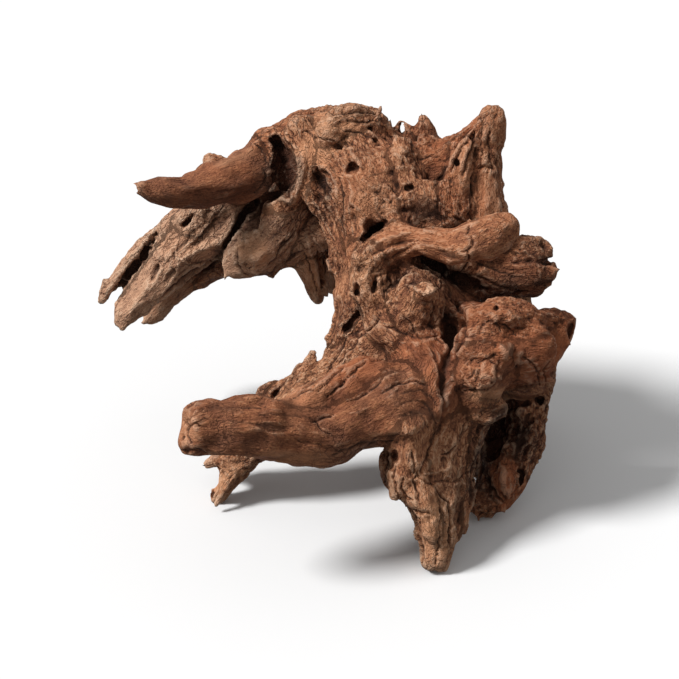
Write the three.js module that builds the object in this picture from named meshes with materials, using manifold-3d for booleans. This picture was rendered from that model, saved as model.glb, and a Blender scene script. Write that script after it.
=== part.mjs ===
// Driftwood: one weathered root burl that stands as an arch on three root ends.
// Millimetres, +Z up. The origin is on the surface that the wood stands on, under the middle of its box.
//
// The wood is described as limbs. A limb is a line of stations [x, y, z, radius], and its skin lies one
// radius from that line, with flutes along it. All the skins are melted together, the hollows are taken
// out, weathered lumps are raised by a formula, and the mesh is thinned where it is nearly flat. Last, the
// feet are cut flat where they stand.

import * as THREE from 'three';
import { edgeTable, triTable } from 'three/addons/objects/MarchingCubes.js';
import { ImprovedNoise } from 'three/addons/math/ImprovedNoise.js';
import { mergeVertices } from 'three/addons/utils/BufferGeometryUtils.js';
import Module from 'manifold-3d';

const BLEND = 2.8; // mm over which two limbs melt into each other
const HOLLOW_BLEND = 2.5; // mm over which the lip of a hollow is rounded
const CELL = 3.2; // mm, the pitch of the grid that the skin is found on
const MARGIN = 12; // mm of empty grid kept round the wood
const LINE_STEP = 7; // mm between points along a limb's smoothed line
const FLUTE_LENGTH = 70; // mm along a limb over which its flutes wander
const FLUTE_GAIN = 3.6; // how far a flute's crest stands above its groove, in depths
const SWELLS = [[2.6, 30], [1.6, 14]]; // the weathering's heights and sizes in mm, coarse and fine
const SWELL_FOLD = 3.2; // how sharply the weathering is creased
const EDGE_CLEAR = 0.02; // share of a cell's edge that the skin keeps from the edge's ends
const FACES = 9800; // triangles that are left after thinning
const LENGTH_COST = 2e-5; // how much thinning dislikes a long edge
const MIDDLE_PULL = 1e-3; // how strongly a folded edge's new point is held near the edge's middle
const TURN_LIMIT = 0.3; // cosine of the furthest that thinning may turn a face
const GROUND_WIDTH = 800; // mm, the block that cuts the feet flat
const GROUND_DEPTH = 100; // mm

// Each limb: its stations, and for a limb with ridges their number round it and their height as a share
// of the radius. Near is -Y, and left and right are as seen from there.
const LIMBS = {
	// the thick arm that reaches left and forward, broken off square
	nearArm: { square: true, ridges: [7, 0.1], line: [[-94, -144, 134, 15], [-83, -140, 133, 17],
		[-61, -132, 129, 18.5], [-31, -118, 116, 20.5], [-4, -104, 106, 21.5], [19, -88, 109, 22],
		[45, -72, 113, 26.5], [68, -54, 101, 29.5]] },
	armKnob: { line: [[-93, -144, 125, 8], [-96, -142, 120, 5.5]] },
	armTop: { ridges: [5, 0.12], line: [[-78, -132, 137, 10], [-42, -116, 130, 11], [-8, -94, 128, 12],
		[24, -68, 131, 15]] },
	// the fold where that arm leaves the body
	shoulder: { line: [[67, -62, 114, 24.5], [75, -48, 125, 21.5], [64, -34, 135, 21.5]] },
	// the horn-like arm that leaves the cave under the crown
	farArm: { ridges: [6, 0.09], line: [[-138, 23, 239, 3], [-132, 27, 235, 6], [-122, 34, 231, 10],
		[-108, 43, 227, 12.5], [-94, 53, 225, 14], [-80, 64, 226, 17], [-65, 78, 225, 19.5],
		[-49, 94, 225, 22], [-31, 112, 223, 24]] },
	// the top of the arch
	crown: { ridges: [5, 0.09], line: [[40, 80, 234, 25], [18, 86, 240, 31], [-5, 92, 240, 31.5],
		[-26, 96, 235, 29], [-44, 102, 224, 24], [-61, 106, 216, 19.5], [-72, 108, 211, 13]] },
	crownKnob: { line: [[15, 70, 270, 13.5], [-1, 60, 268, 11]] },
	crownBrow: { ridges: [4, 0.15], line: [[-23, 76, 263, 9.5], [-17, 66, 250, 8], [-21, 60, 235, 7.5],
		[-31, 58, 216, 6.5]] },
	ear: { line: [[-73, 116, 211, 9.5], [-85, 118, 216, 8], [-94, 119, 219, 5.5]] },
	// the trunk between the body and the crown
	neck: { ridges: [9, 0.08], line: [[81, -2, 122, 40], [58, 8, 154, 34], [45, 20, 180, 30.5],
		[40, 32, 204, 32.5], [32, 50, 225, 35.5], [19, 70, 236, 33.5]] },
	// the fold down the left of that trunk
	neckLeft: { ridges: [5, 0.14], line: [[-1, 66, 226, 18], [9, 56, 204, 18], [15, 40, 184, 17],
		[19, 26, 162, 18], [20, 14, 143, 20], [15, 6, 126, 16.5]] },
	neckFold: { ridges: [4, 0.15], line: [[50, 40, 249, 12.5], [56, 26, 233, 11], [50, 14, 215, 9.5],
		[39, 4, 200, 8.5]] },
	neckRib: { ridges: [4, 0.15], line: [[29, -8, 195, 11], [25, -14, 178, 9.5], [29, -22, 160, 10],
		[44, -32, 146, 11.5]] },
	// the rib that drops from the crown beside the cave
	strut: { ridges: [5, 0.14], line: [[-12, 76, 239, 15], [-21, 70, 216, 11.5], [-32, 73, 193, 12],
		[-49, 73, 173, 17.5], [-64, 72, 162, 17], [-74, 74, 154, 11.5]] },
	web: { line: [[-64, 85, 149, 9.5], [-36, 87, 167, 17], [-13, 80, 180, 17], [10, 70, 195, 16.5]] },
	webTop: { line: [[-60, 106, 196, 17], [-40, 102, 185, 15.5], [-25, 96, 175, 12.5]] },
	spike: { ridges: [4, 0.1], line: [[-23, 88, 170, 14], [-18, 85, 149, 10], [-13, 83, 127, 6.5],
		[-11, 82, 117, 3.5]] },
	drop: { line: [[-40, 86, 167, 14], [-46, 83, 150, 6], [-47, 83, 139, 3.5]] },
	// the flat root end behind the spike
	plate: { ridges: [4, 0.1], line: [[-6, 112, 159, 13.5], [0, 114, 135, 9.5], [2, 115, 112, 7]] },
	// the jaw: two worn root ends with a groove between them, and a ledge under them
	fingerOuter: { ridges: [5, 0.14], line: [[-83, 108, 195, 15.5], [-109, 100, 179, 14],
		[-132, 94, 163, 11], [-152, 89, 146, 9], [-168, 85, 129, 7.5], [-176, 83, 122, 5.5]] },
	fingerInner: { ridges: [6, 0.12], line: [[-71, 102, 190, 21], [-95, 94, 172, 21.5],
		[-117, 87, 155, 19.5], [-138, 80, 134, 14], [-155, 76, 115, 10], [-165, 74, 105, 7]] },
	fingerRoot: { line: [[-85, 98, 204, 17], [-105, 86, 182, 14.5]] },
	ledge: { ridges: [4, 0.12], line: [[-73, 116, 151, 17.5], [-93, 118, 142, 13.5],
		[-114, 116, 125, 9.5], [-129, 112, 107, 9.5], [-145, 110, 91, 7.5]] },
	ledgeWeb: { line: [[-67, 95, 144, 8], [-87, 108, 133, 7], [-106, 114, 121, 7]] },
	// the left root end, which the wood stands on
	flange: { ridges: [8, 0.07], line: [[40, -2, 118, 32], [14, -6, 98, 24.5], [-12, -10, 83, 21],
		[-34, -14, 69, 21], [-54, -18, 56, 19], [-69, -22, 38, 13], [-80, -26, 19, 8.5], [-87, -25, 3, 6]] },
	flangeKnob: { line: [[-33, -4, 74, 10.5], [-46, -2, 78, 9]] },
	prong: { line: [[-53, -6, 49, 13.5], [-72, -2, 33, 10], [-88, 0, 21, 5.5], [-95, 0, 17, 3.5]] },
	// the front root end, which the wood stands on
	frontLeg: { ridges: [6, 0.14], line: [[72, -45, 100, 33.5], [69, -65, 78, 29.5], [70, -80, 57, 25],
		[76, -96, 36, 17], [76, -108, 22, 14.5], [74, -116, 8, 9.5]] },
	shin: { ridges: [4, 0.15], line: [[54, -90, 105, 14], [54, -98, 81, 12], [61, -110, 60, 9],
		[70, -118, 36, 6.5]] },
	thigh: { ridges: [4, 0.15], line: [[101, -45, 104, 19], [95, -60, 75, 14.5], [91, -74, 45, 14],
		[88, -94, 24, 10]] },
	legLobe: { line: [[54, -68, 61, 16], [49, -72, 52, 11], [43, -74, 65, 7]] },
	// the swelling on the right that ends in a thorn
	rightLump: { ridges: [7, 0.07], line: [[91, -20, 128, 32], [117, -28, 135, 30.5],
		[138, -24, 134, 27.5], [155, -16, 138, 19], [170, -11, 144, 9], [179, -8, 147, 3]] },
	lumpBrow: { ridges: [4, 0.15], line: [[99, -44, 163, 8.5], [123, -46, 166, 9], [147, -32, 154, 8.5],
		[165, -16, 149, 5]] },
	lumpSkirt: { line: [[139, -20, 118, 22], [151, -12, 98, 13.5], [154, -10, 83, 9]] },
	// the old branch knot on the swelling
	knot: { line: [[116, -35, 132, 21.5], [106, -60, 129, 18], [103, -62, 118, 13.5]] },
	knotLip: { line: [[91, -54, 107, 6.5], [105, -66, 104, 6.5], [121, -62, 103, 5.5]] },
	// the hollowed lobe below the swelling
	chunk: { ridges: [6, 0.14], line: [[144, -4, 89, 16.5], [143, -12, 68, 18], [138, -20, 51, 19],
		[131, -28, 35, 17.5], [124, -38, 22, 14.5], [117, -46, 13, 9.5]] },
	chunkToe: { line: [[137, -30, 34, 10], [130, -40, 19, 10.5], [109, -50, 14, 8]] },
	chunkWall: { line: [[128, 10, 68, 20], [120, 2, 37, 19], [118, -12, 26, 13.5]] },
	tongue: { line: [[128, -36, 36, 9.5], [131, -42, 24, 8]] },
	thornLump: { line: [[64, -22, 170, 19.5], [58, -24, 156, 17.5]] },
	thorn: { line: [[66, -42, 186, 5], [69, -54, 196, 3]] },
	// the bent branch across the body, with its rounded end
	elbow: { ridges: [5, 0.1], line: [[30, 8, 190, 17.5], [48, -2, 205, 13], [69, -14, 211, 10],
		[86, -22, 211, 12], [102, -24, 216, 14.5], [115, -20, 220, 14], [123, -16, 224, 10]] },
	stub: { line: [[125, 30, 185, 10.5], [144, 30, 187, 8], [155, 28, 187, 7.5]] },
	// the worn wall behind the bent branch
	fin: { ridges: [6, 0.08], line: [[103, 30, 168, 24.5], [129, 28, 169, 20], [148, 26, 170, 15],
		[160, 25, 169, 6.5], [165, 24, 170, 3]] },
	finLow: { line: [[137, 26, 154, 7.5], [157, 24, 156, 3.5]] },
	// the upright horn
	horn: { ridges: [6, 0.12], line: [[118, 48, 285, 7], [116, 48, 273, 10], [114, 46, 258, 11.5],
		[111, 42, 240, 14.5], [110, 38, 222, 18.5], [109, 35, 205, 21.5], [99, 30, 185, 25]] },
	hornRib: { ridges: [3, 0.2], line: [[95, 38, 261, 7.5], [92, 30, 241, 8], [95, 22, 222, 8.5]] },
	ramp: { ridges: [5, 0.12], line: [[110, 48, 276, 6.5], [97, 50, 260, 9.5], [80, 55, 246, 15],
		[58, 60, 236, 19.5]] },
	valleyWall: { line: [[47, 52, 216, 22.5], [74, 58, 217, 22.5], [97, 50, 217, 21]] },
	// the splinters left standing on the broken rim of the crown
	spire: { line: [[70, 94, 242, 10], [69, 96, 254, 7], [67, 97, 265, 2.5]] },
	curl: { line: [[59, 98, 244, 3.5], [59, 99, 255, 2.5], [53, 100, 261, 2]] },
	backRim: { line: [[34, 96, 248, 15], [59, 92, 238, 10], [82, 85, 237, 11.5]] },
	jag: { line: [[27, 88, 268, 6.5], [38, 90, 263, 6]] },
	// the back root end, which the wood stands on
	rearLeg: { ridges: [6, 0.12], line: [[67, 45, 136, 35], [80, 85, 85, 28.5], [82, 118, 42, 21.5],
		[77, 138, 6, 16]] },
	rearToe: { ridges: [4, 0.12], line: [[94, 70, 97, 26.5], [117, 90, 61, 19.5], [141, 102, 41, 13],
		[154, 106, 24, 8]] },
	rearKnee: { line: [[95, 102, 66, 19.5], [106, 108, 57, 16.5]] },
	backMass: { ridges: [7, 0.1], line: [[60, 70, 166, 32], [95, 76, 146, 29.5], [127, 76, 127, 20.5],
		[148, 82, 113, 8.5]] },
	// a broken root stump at the back
	backRoot: { square: true, ridges: [5, 0.12], line: [[-26, 148, 119, 12.5], [-2, 126, 140, 17.5],
		[22, 95, 173, 25]] },
	backWing: { ridges: [4, 0.12], line: [[49, 94, 206, 23], [32, 116, 175, 17.5], [14, 128, 151, 13]] },
	backKnob: { line: [[77, 102, 168, 19], [90, 120, 162, 12]] },
};

// Each hollow is a limb of air.
const HOLLOWS = {
	// under the crown, where the far arm comes out
	cave: [[-36, 76, 249, 6], [-29, 70, 234, 9], [-37, 66, 216, 7.5]],
	// between the two fingers of the jaw
	jawGroove: [[-135, 82, 166, 4], [-152, 77, 147, 5.5], [-166, 73, 130, 6]],
	// under the bent branch
	underElbow: [[67, -22, 199, 5.5], [85, -22, 187, 8], [100, -17, 179, 6]],
	// between the neck and the horn
	valley: [[68, 8, 224, 12.5], [86, 12, 219, 9.5]],
	// between the swelling and the neck
	lumpGap: [[82, -40, 179, 5.5], [85, -44, 155, 8.5]],
	// behind the front leg
	chunkCave: [[119, -32, 75, 11], [113, -42, 47, 9.5]],
	// a rotted hole above the bent branch
	neckHole: [[28, -12, 220, 5.5], [31, 12, 209, 5]],
	neckSlot: [[19, -28, 162, 3.5], [19, -26, 151, 4.5], [18, -8, 148, 3.5]],
	// a rotted hole in the front leg's lobe
	legHole: [[43, -98, 88, 4], [47, -76, 70, 3.5]],
	// in the neck beside the rib
	cheekGroove: [[-9, 62, 232, 5], [-1, 56, 212, 6]],
};

const noise = new ImprovedNoise();

// A line of stations as a smooth run of segments [start x, y, z, radius, end x, y, z, radius, start's run].
function segmentsOf(stations) {
	const corners = stations.map(([x, y, z]) => new THREE.Vector3(x, y, z));
	const path = new THREE.CatmullRomCurve3(corners, false, 'centripetal');
	const points = [];
	for (let i = 0; i + 1 < stations.length; i++) {
		const steps = Math.max(1, Math.round(corners[i].distanceTo(corners[i + 1]) / LINE_STEP));
		const last = i + 2 === stations.length ? 1 : 0;
		for (let j = 0; j < steps + last; j++) {
			const share = j / steps;
			const p = path.getPoint((i + share) / (stations.length - 1));
			points.push([p.x, p.y, p.z, THREE.MathUtils.lerp(stations[i][3], stations[i + 1][3], share)]);
		}
	}
	const segments = [];
	let run = 0;
	for (let i = 0; i + 1 < points.length; i++) {
		segments.push([...points[i], ...points[i + 1], run]);
		run += Math.hypot(...[0, 1, 2].map((k) => points[i + 1][k] - points[i][k]));
	}
	return segments;
}

// How far the point (x, y, z) lies outside a limb's skin, with the flutes that run along the limb.
function distanceTo({ segments, ridges, square }, x, y, z) {
	let best = Infinity;
	let near = null;
	let share = 0;
	for (const s of segments) {
		const bx = s[4] - s[0];
		const by = s[5] - s[1];
		const bz = s[6] - s[2];
		const along = ((x - s[0]) * bx + (y - s[1]) * by + (z - s[2]) * bz) / (bx * bx + by * by + bz * bz);
		const t = Math.min(1, Math.max(0, along));
		const away = Math.hypot(x - s[0] - t * bx, y - s[1] - t * by, z - s[2] - t * bz);
		const d = away - (s[3] + t * (s[7] - s[3]));
		if (d < best) {
			best = d;
			near = s;
			share = t;
		}
	}
	if (ridges) {
		const [count, depth] = ridges;
		const out = [x, y, z].map((v, k) => v - near[k] - share * (near[k + 4] - near[k]));
		const scale = count / Math.PI / (Math.hypot(...out) + 1e-6);
		const length = Math.hypot(...[0, 1, 2].map((k) => near[k + 4] - near[k]));
		const run = (near[8] + share * length) / FLUTE_LENGTH;
		const fold = Math.abs(noise.noise(out[0] * scale + run, out[1] * scale + count, out[2] * scale - run));
		best -= depth * (near[3] + share * (near[7] - near[3])) * (FLUTE_GAIN * fold - 1);
	}
	if (square) {
		const [a, b] = [segments[0].slice(0, 3), segments[0].slice(4, 7)];
		const axis = a.map((v, k) => v - b[k]);
		const beyond = ((x - a[0]) * axis[0] + (y - a[1]) * axis[1] + (z - a[2]) * axis[2]) / Math.hypot(...axis);
		best = Math.max(best, beyond);
	}
	return best;
}

function boxOf(segments, grow) {
	const box = new THREE.Box3();
	for (const s of segments) {
		for (const [x, y, z, r] of [s.slice(0, 4), s.slice(4, 8)]) {
			box.expandByPoint(new THREE.Vector3(x - r, y - r, z - r));
			box.expandByPoint(new THREE.Vector3(x + r, y + r, z + r));
		}
	}
	return box.expandByScalar(grow);
}

// The lumps and pits that weather has left all over the wood, in mm above its smooth skin.
function weathering(x, y, z) {
	return SWELLS.reduce((sum, [height, size]) => {
		const n = noise.noise(x / size + size, y / size, z / size);
		return sum + height * (1 - SWELL_FOLD * Math.abs(n));
	}, 0);
}

// The grid holds, at each of its points, the distance to the melted skin of all limbs less the hollows.
function fillGrid(limbs, hollows) {
	const box = new THREE.Box3();
	limbs.forEach((limb) => box.union(boxOf(limb.segments, MARGIN)));
	const size = box.getSize(new THREE.Vector3());
	const n = [size.x, size.y, size.z].map((v) => Math.ceil(v / CELL) + 1);
	const sum = new Float64Array(n[0] * n[1] * n[2]);
	const visit = (near, act) => {
		const range = ['x', 'y', 'z'].map((k, axis) => [
			Math.max(0, Math.ceil((near.min[k] - box.min[k]) / CELL)),
			Math.min(n[axis] - 1, Math.floor((near.max[k] - box.min[k]) / CELL))]);
		for (let k = range[2][0]; k <= range[2][1]; k++) {
			for (let j = range[1][0]; j <= range[1][1]; j++) {
				for (let i = range[0][0]; i <= range[0][1]; i++) {
					const place = [box.min.x + i * CELL, box.min.y + j * CELL, box.min.z + k * CELL];
					act((k * n[1] + j) * n[0] + i, place);
				}
			}
		}
	};
	for (const limb of limbs) {
		visit(boxOf(limb.segments, BLEND * 5), (at, place) => {
			sum[at] += Math.exp(-distanceTo(limb, ...place) / BLEND);
		});
	}
	const field = sum.map((s) => s > 0 ? -BLEND * Math.log(s) : MARGIN);
	for (const hollow of hollows) {
		visit(boxOf(hollow.segments, HOLLOW_BLEND * 5), (at, place) => {
			const depth = -distanceTo(hollow, ...place);
			field[at] = HOLLOW_BLEND * Math.log(Math.exp(field[at] / HOLLOW_BLEND) + Math.exp(depth / HOLLOW_BLEND));
		});
	}
	visit(box, (at, place) => {
		if (Math.abs(field[at]) < MARGIN) field[at] -= weathering(...place) * (1 - Math.abs(field[at]) / MARGIN);
	});
	return { field, n, min: box.min };
}

// Marching cubes with shared vertices: the corners of a cell, and the two corners of each of its edges.
const CORNERS = [[0, 0, 0], [1, 0, 0], [1, 1, 0], [0, 1, 0], [0, 0, 1], [1, 0, 1], [1, 1, 1], [0, 1, 1]];
const EDGES = [
	[0, 1], [1, 2], [3, 2], [0, 3], [4, 5], [5, 6], [7, 6], [4, 7], [0, 4], [1, 5], [2, 6], [3, 7]];

function skinOf({ field, n, min }) {
	const step = [1, n[0], n[0] * n[1]];
	const offset = CORNERS.map((c) => c[0] * step[0] + c[1] * step[1] + c[2] * step[2]);
	const made = new Map();
	const points = [];
	const faces = [];
	const vertexOn = (cell, base, edge) => {
		const [a, b] = EDGES[edge];
		const axis = CORNERS[a].findIndex((v, k) => v !== CORNERS[b][k]);
		const from = base + offset[a];
		const key = from * 3 + axis;
		if (!made.has(key)) {
			const crossing = field[from] / (field[from] - field[from + step[axis]]);
			const share = THREE.MathUtils.clamp(crossing, EDGE_CLEAR, 1 - EDGE_CLEAR);
			const p = cell.map((v, k) => v + CORNERS[a][k] + (k === axis ? share : 0));
			made.set(key, points.length);
			points.push([min.x + p[0] * CELL, min.y + p[1] * CELL, min.z + p[2] * CELL]);
		}
		return made.get(key);
	};
	for (let k = 0; k < n[2] - 1; k++) {
		for (let j = 0; j < n[1] - 1; j++) {
			for (let i = 0; i < n[0] - 1; i++) {
				const base = (k * n[1] + j) * n[0] + i;
				let index = 0;
				offset.forEach((o, c) => {
					if (field[base + o] < 0) index |= 1 << c;
				});
				if (!edgeTable[index]) continue;
				for (let t = index * 16; triTable[t] !== -1; t += 3) {
					faces.push([0, 2, 1].map((c) => vertexOn([i, j, k], base, triTable[t + c])));
				}
			}
		}
	}
	return largestBody({ points, faces });
}

// Keeps the faces that hang together with the first vertex of the biggest body, and drops loose crumbs.
function largestBody({ points, faces }) {
	const parent = points.map((p, i) => i);
	const rootOf = (start) => {
		let i = start;
		while (parent[i] !== i) {
			parent[i] = parent[parent[i]];
			i = parent[i];
		}
		return i;
	};
	for (const [a, b, c] of faces) {
		parent[rootOf(a)] = rootOf(b);
		parent[rootOf(b)] = rootOf(c);
	}
	const count = new Map();
	faces.forEach(([a]) => count.set(rootOf(a), (count.get(rootOf(a)) || 0) + 1));
	const biggest = [...count].sort((a, b) => b[1] - a[1])[0][0];
	return { points, faces: faces.filter(([a]) => rootOf(a) === biggest) };
}

const normalOf = (a, b, c) => {
	const u = b.map((v, k) => v - a[k]);
	const w = c.map((v, k) => v - a[k]);
	return [u[1] * w[2] - u[2] * w[1], u[2] * w[0] - u[0] * w[2], u[0] * w[1] - u[1] * w[0]];
};

// A quadric holds the summed squared distance to some planes: xx, xy, xz, yy, yz, zz, x, y, z and 1.
function planeQuadric(a, b, c) {
	const n = normalOf(a, b, c);
	const area = Math.hypot(...n) + 1e-12;
	const [x, y, z] = n.map((v) => v / area);
	const d = -(x * a[0] + y * a[1] + z * a[2]);
	return [x * x, x * y, x * z, y * y, y * z, z * z, x * d, y * d, z * d, d * d].map((v) => v * area);
}

const costAt = (q, [x, y, z]) => q[0] * x * x + q[3] * y * y + q[5] * z * z + q[9]
	+ 2 * (q[1] * x * y + q[2] * x * z + q[4] * y * z + q[6] * x + q[7] * y + q[8] * z);

// The point where a quadric is least, held near the middle of the edge by a small pull.
function bestPoint(q, mid) {
	const pull = MIDDLE_PULL * (q[0] + q[3] + q[5]) + 1e-9;
	const m = new THREE.Matrix3().set(q[0] + pull, q[1], q[2], q[1], q[3] + pull, q[4], q[2], q[4], q[5] + pull);
	const side = new THREE.Vector3(...mid.map((v, k) => pull * v - q[6 + k]));
	return side.applyMatrix3(m.invert()).toArray();
}

// Thins a closed mesh: the edge whose loss changes the shape least is folded up, until few faces are left.
function thin({ points, faces }, count) {
	const around = points.map(() => new Set());
	const quadrics = points.map(() => new Array(10).fill(0));
	const stamps = new Int32Array(points.length);
	faces.forEach((face, f) => {
		const q = planeQuadric(...face.map((v) => points[v]));
		face.forEach((v) => {
			around[v].add(f);
			quadrics[v] = quadrics[v].map((w, k) => w + q[k]);
		});
	});
	const heap = [];
	const push = (item) => {
		let i = heap.push(item) - 1;
		while (i > 0 && heap[(i - 1) >> 1].cost > item.cost) {
			heap[i] = heap[(i - 1) >> 1];
			i = (i - 1) >> 1;
		}
		heap[i] = item;
	};
	const pop = () => {
		const top = heap[0];
		const item = heap.pop();
		let i = 0;
		while (heap.length && 2 * i + 1 < heap.length) {
			const left = 2 * i + 1;
			const child = left + 1 < heap.length && heap[left + 1].cost < heap[left].cost ? left + 1 : left;
			if (heap[child].cost >= item.cost) break;
			heap[i] = heap[child];
			i = child;
		}
		if (heap.length) heap[i] = item;
		return top;
	};
	const offer = (a, b) => {
		const q = quadrics[a].map((v, k) => v + quadrics[b][k]);
		const mid = points[a].map((v, k) => (v + points[b][k]) / 2);
		const at = bestPoint(q, mid);
		const length = Math.hypot(...points[a].map((v, k) => v - points[b][k]));
		push({ cost: costAt(q, at) + LENGTH_COST * length ** 4, a, b, at, stamp: [stamps[a], stamps[b]] });
	};
	const neighbours = (v) => new Set([...around[v]].flatMap((f) => faces[f]).filter((w) => w !== v));
	const folds = (v, gone, at) => [...around[v]].some((f) => {
		if (faces[f].includes(gone)) return false;
		const before = normalOf(...faces[f].map((w) => points[w]));
		const after = normalOf(...faces[f].map((w) => w === v ? at : points[w]));
		const dot = before[0] * after[0] + before[1] * after[1] + before[2] * after[2];
		return dot < TURN_LIMIT * Math.hypot(...before) * Math.hypot(...after);
	});
	faces.forEach(([a, b, c]) => [[a, b], [b, c], [c, a]].forEach(([p, q]) => p < q && offer(p, q)));
	let left = faces.length;
	while (left > count && heap.length) {
		const { a, b, at, stamp } = pop();
		if (stamps[a] !== stamp[0] || stamps[b] !== stamp[1]) continue;
		const shared = [...around[a]].filter((f) => faces[f].includes(b));
		const ring = neighbours(b);
		const common = [...neighbours(a)].filter((v) => ring.has(v));
		if (shared.length !== 2 || common.length !== 2 || folds(a, b, at) || folds(b, a, at)) continue;
		shared.forEach((f) => faces[f].forEach((v) => around[v].delete(f)));
		around[b].forEach((f) => {
			faces[f] = faces[f].map((v) => v === b ? a : v);
			around[a].add(f);
		});
		shared.forEach((f) => { faces[f] = null; });
		around[b].clear();
		points[a] = at;
		quadrics[a] = quadrics[a].map((v, k) => v + quadrics[b][k]);
		stamps[a]++;
		stamps[b] = -1;
		left -= 2;
		neighbours(a).forEach((v) => offer(a, v));
	}
	return { points, faces: faces.filter(Boolean) };
}

function geometryOf({ points, faces }) {
	const used = [...new Set(faces.flat())];
	const place = new Map(used.map((v, i) => [v, i]));
	const geometry = new THREE.BufferGeometry();
	geometry.setAttribute('position', new THREE.Float32BufferAttribute(used.flatMap((v) => points[v]), 3));
	geometry.setIndex(faces.flat().map((v) => place.get(v)));
	return geometry;
}

const wasm = await Module();
wasm.setup();

function solidOf(geometry) {
	return new wasm.Manifold(new wasm.Mesh({
		numProp: 3,
		vertProperties: new Float32Array(geometry.attributes.position.array),
		triVerts: new Uint32Array(geometry.index.array),
	}));
}

// Cuts off all that reaches below the surface that the wood stands on, which leaves a flat spot on each foot.
function cutFlat(geometry) {
	const below = new THREE.BoxGeometry(GROUND_WIDTH, GROUND_WIDTH, GROUND_DEPTH);
	below.translate(0, 0, -GROUND_DEPTH / 2);
	['normal', 'uv'].forEach((name) => below.deleteAttribute(name));
	const mesh = solidOf(geometry).subtract(solidOf(mergeVertices(below))).getMesh();
	const cut = new THREE.BufferGeometry();
	cut.setAttribute('position', new THREE.BufferAttribute(new Float32Array(mesh.vertProperties), 3));
	cut.setIndex(new THREE.BufferAttribute(new Uint32Array(mesh.triVerts), 1));
	cut.computeVertexNormals();
	return cut;
}

const limbs = Object.values(LIMBS).map((limb) => ({ ...limb, segments: segmentsOf(limb.line) }));
const hollows = Object.values(HOLLOWS).map((line) => ({ segments: segmentsOf(line) }));
const skin = thin(skinOf(fillGrid(limbs, hollows)), FACES);
const wood = new THREE.MeshStandardMaterial({ color: 0x8a5a3c, roughness: 0.85, metalness: 0 });
const driftwood = new THREE.Mesh(cutFlat(geometryOf(skin)), wood);
driftwood.name = 'driftwood';

const part = new THREE.Group();
part.add(driftwood);
export default part;
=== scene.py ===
# %% [markdown]
# A weathered root burl, the kind that is sold for aquariums and terrariums. It grew as one piece, and water,
# insects and sun then carved it: smooth arms with long grain, spongy rot, cracks, holes and broken ends.
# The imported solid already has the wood's limbs at their real size. This lesson dresses it: the solid is
# copied, cut, roughened along its grain and given a wood material that knows where the hollows are.

# %% Load the fixed frame
import bpy
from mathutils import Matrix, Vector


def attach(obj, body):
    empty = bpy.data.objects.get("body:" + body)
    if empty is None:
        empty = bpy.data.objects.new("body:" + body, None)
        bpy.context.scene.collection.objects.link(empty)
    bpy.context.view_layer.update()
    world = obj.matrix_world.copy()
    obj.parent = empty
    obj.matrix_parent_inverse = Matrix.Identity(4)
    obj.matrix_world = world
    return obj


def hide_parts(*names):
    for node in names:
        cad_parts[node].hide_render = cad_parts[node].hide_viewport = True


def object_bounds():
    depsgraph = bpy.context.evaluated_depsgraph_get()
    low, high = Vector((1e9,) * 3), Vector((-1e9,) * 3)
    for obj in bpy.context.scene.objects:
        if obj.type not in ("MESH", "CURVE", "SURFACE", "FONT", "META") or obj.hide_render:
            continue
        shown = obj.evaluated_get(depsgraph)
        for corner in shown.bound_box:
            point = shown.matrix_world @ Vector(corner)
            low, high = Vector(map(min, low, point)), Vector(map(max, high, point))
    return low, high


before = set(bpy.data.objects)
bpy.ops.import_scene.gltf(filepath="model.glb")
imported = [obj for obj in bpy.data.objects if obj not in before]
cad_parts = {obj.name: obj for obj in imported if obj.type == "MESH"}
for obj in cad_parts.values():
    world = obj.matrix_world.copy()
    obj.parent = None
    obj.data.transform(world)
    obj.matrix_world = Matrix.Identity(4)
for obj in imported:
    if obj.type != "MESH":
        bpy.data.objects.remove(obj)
bpy.context.view_layer.update()
cad_low, cad_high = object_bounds()
print("solid's box in metres", cad_low, cad_high)

# %% Libraries
import math

import bmesh
import numpy as np
from mathutils import Matrix, Vector, noise
from mathutils.bvhtree import BVHTree

MM = 0.001

# %% [markdown]
# The camera comes first, because many holes and cracks are placed by where they are seen. The picture is
# taken from the front and about 28 degrees above. A long lens keeps the near arm from looking too big.
# `sight` turns a place in the picture into a ray, so that a hole can be put on the wood behind that place.

# %% Camera
PICTURE = 679  # pixels, both ways
LENS = 95  # mm on a 36 mm sensor
SENSOR = 36
ELEVATION = math.radians(28)
AIM = Vector((6, -27, 140)) * MM
DISTANCE = 1300 * MM

forward = Vector((0, math.cos(ELEVATION), -math.sin(ELEVATION)))
picture_up = Vector((0, math.sin(ELEVATION), math.cos(ELEVATION)))
picture_right = Vector((1, 0, 0))
eye = AIM - forward * DISTANCE

camera = bpy.data.objects.new("camera", bpy.data.cameras.new("camera"))
camera.data.lens = LENS
camera.data.sensor_width = SENSOR
camera.data.dof.use_dof = False
camera.location = eye
camera.rotation_mode = "QUATERNION"
camera.rotation_quaternion = forward.to_track_quat("-Z", "Y")
bpy.context.scene.collection.objects.link(camera)
bpy.context.scene.camera = camera


def sight(x, y):
    """The direction from the eye through a place in the picture, in pixels."""
    reach = PICTURE * LENS / SENSOR
    half = PICTURE / 2
    return (forward + picture_right * (x - half) / reach + picture_up * (half - y) / reach).normalized()


# %% [markdown]
# The solid's own mesh must stay as it is, so the work starts on a copy. It comes as loose triangles, so
# the copy's doubles are merged before anything else. A few helpers are needed again and again: make an
# object from a bmesh, and bake an object's modifiers into its mesh.

# %% Copy the solid
MERGE = 0.005 * MM


def object_from(form, name):
    """A new object in the scene that holds a bmesh's shape."""
    mesh = bpy.data.meshes.new(name)
    form.to_mesh(mesh)
    form.free()
    made = bpy.data.objects.new(name, mesh)
    bpy.context.scene.collection.objects.link(made)
    return made


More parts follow.
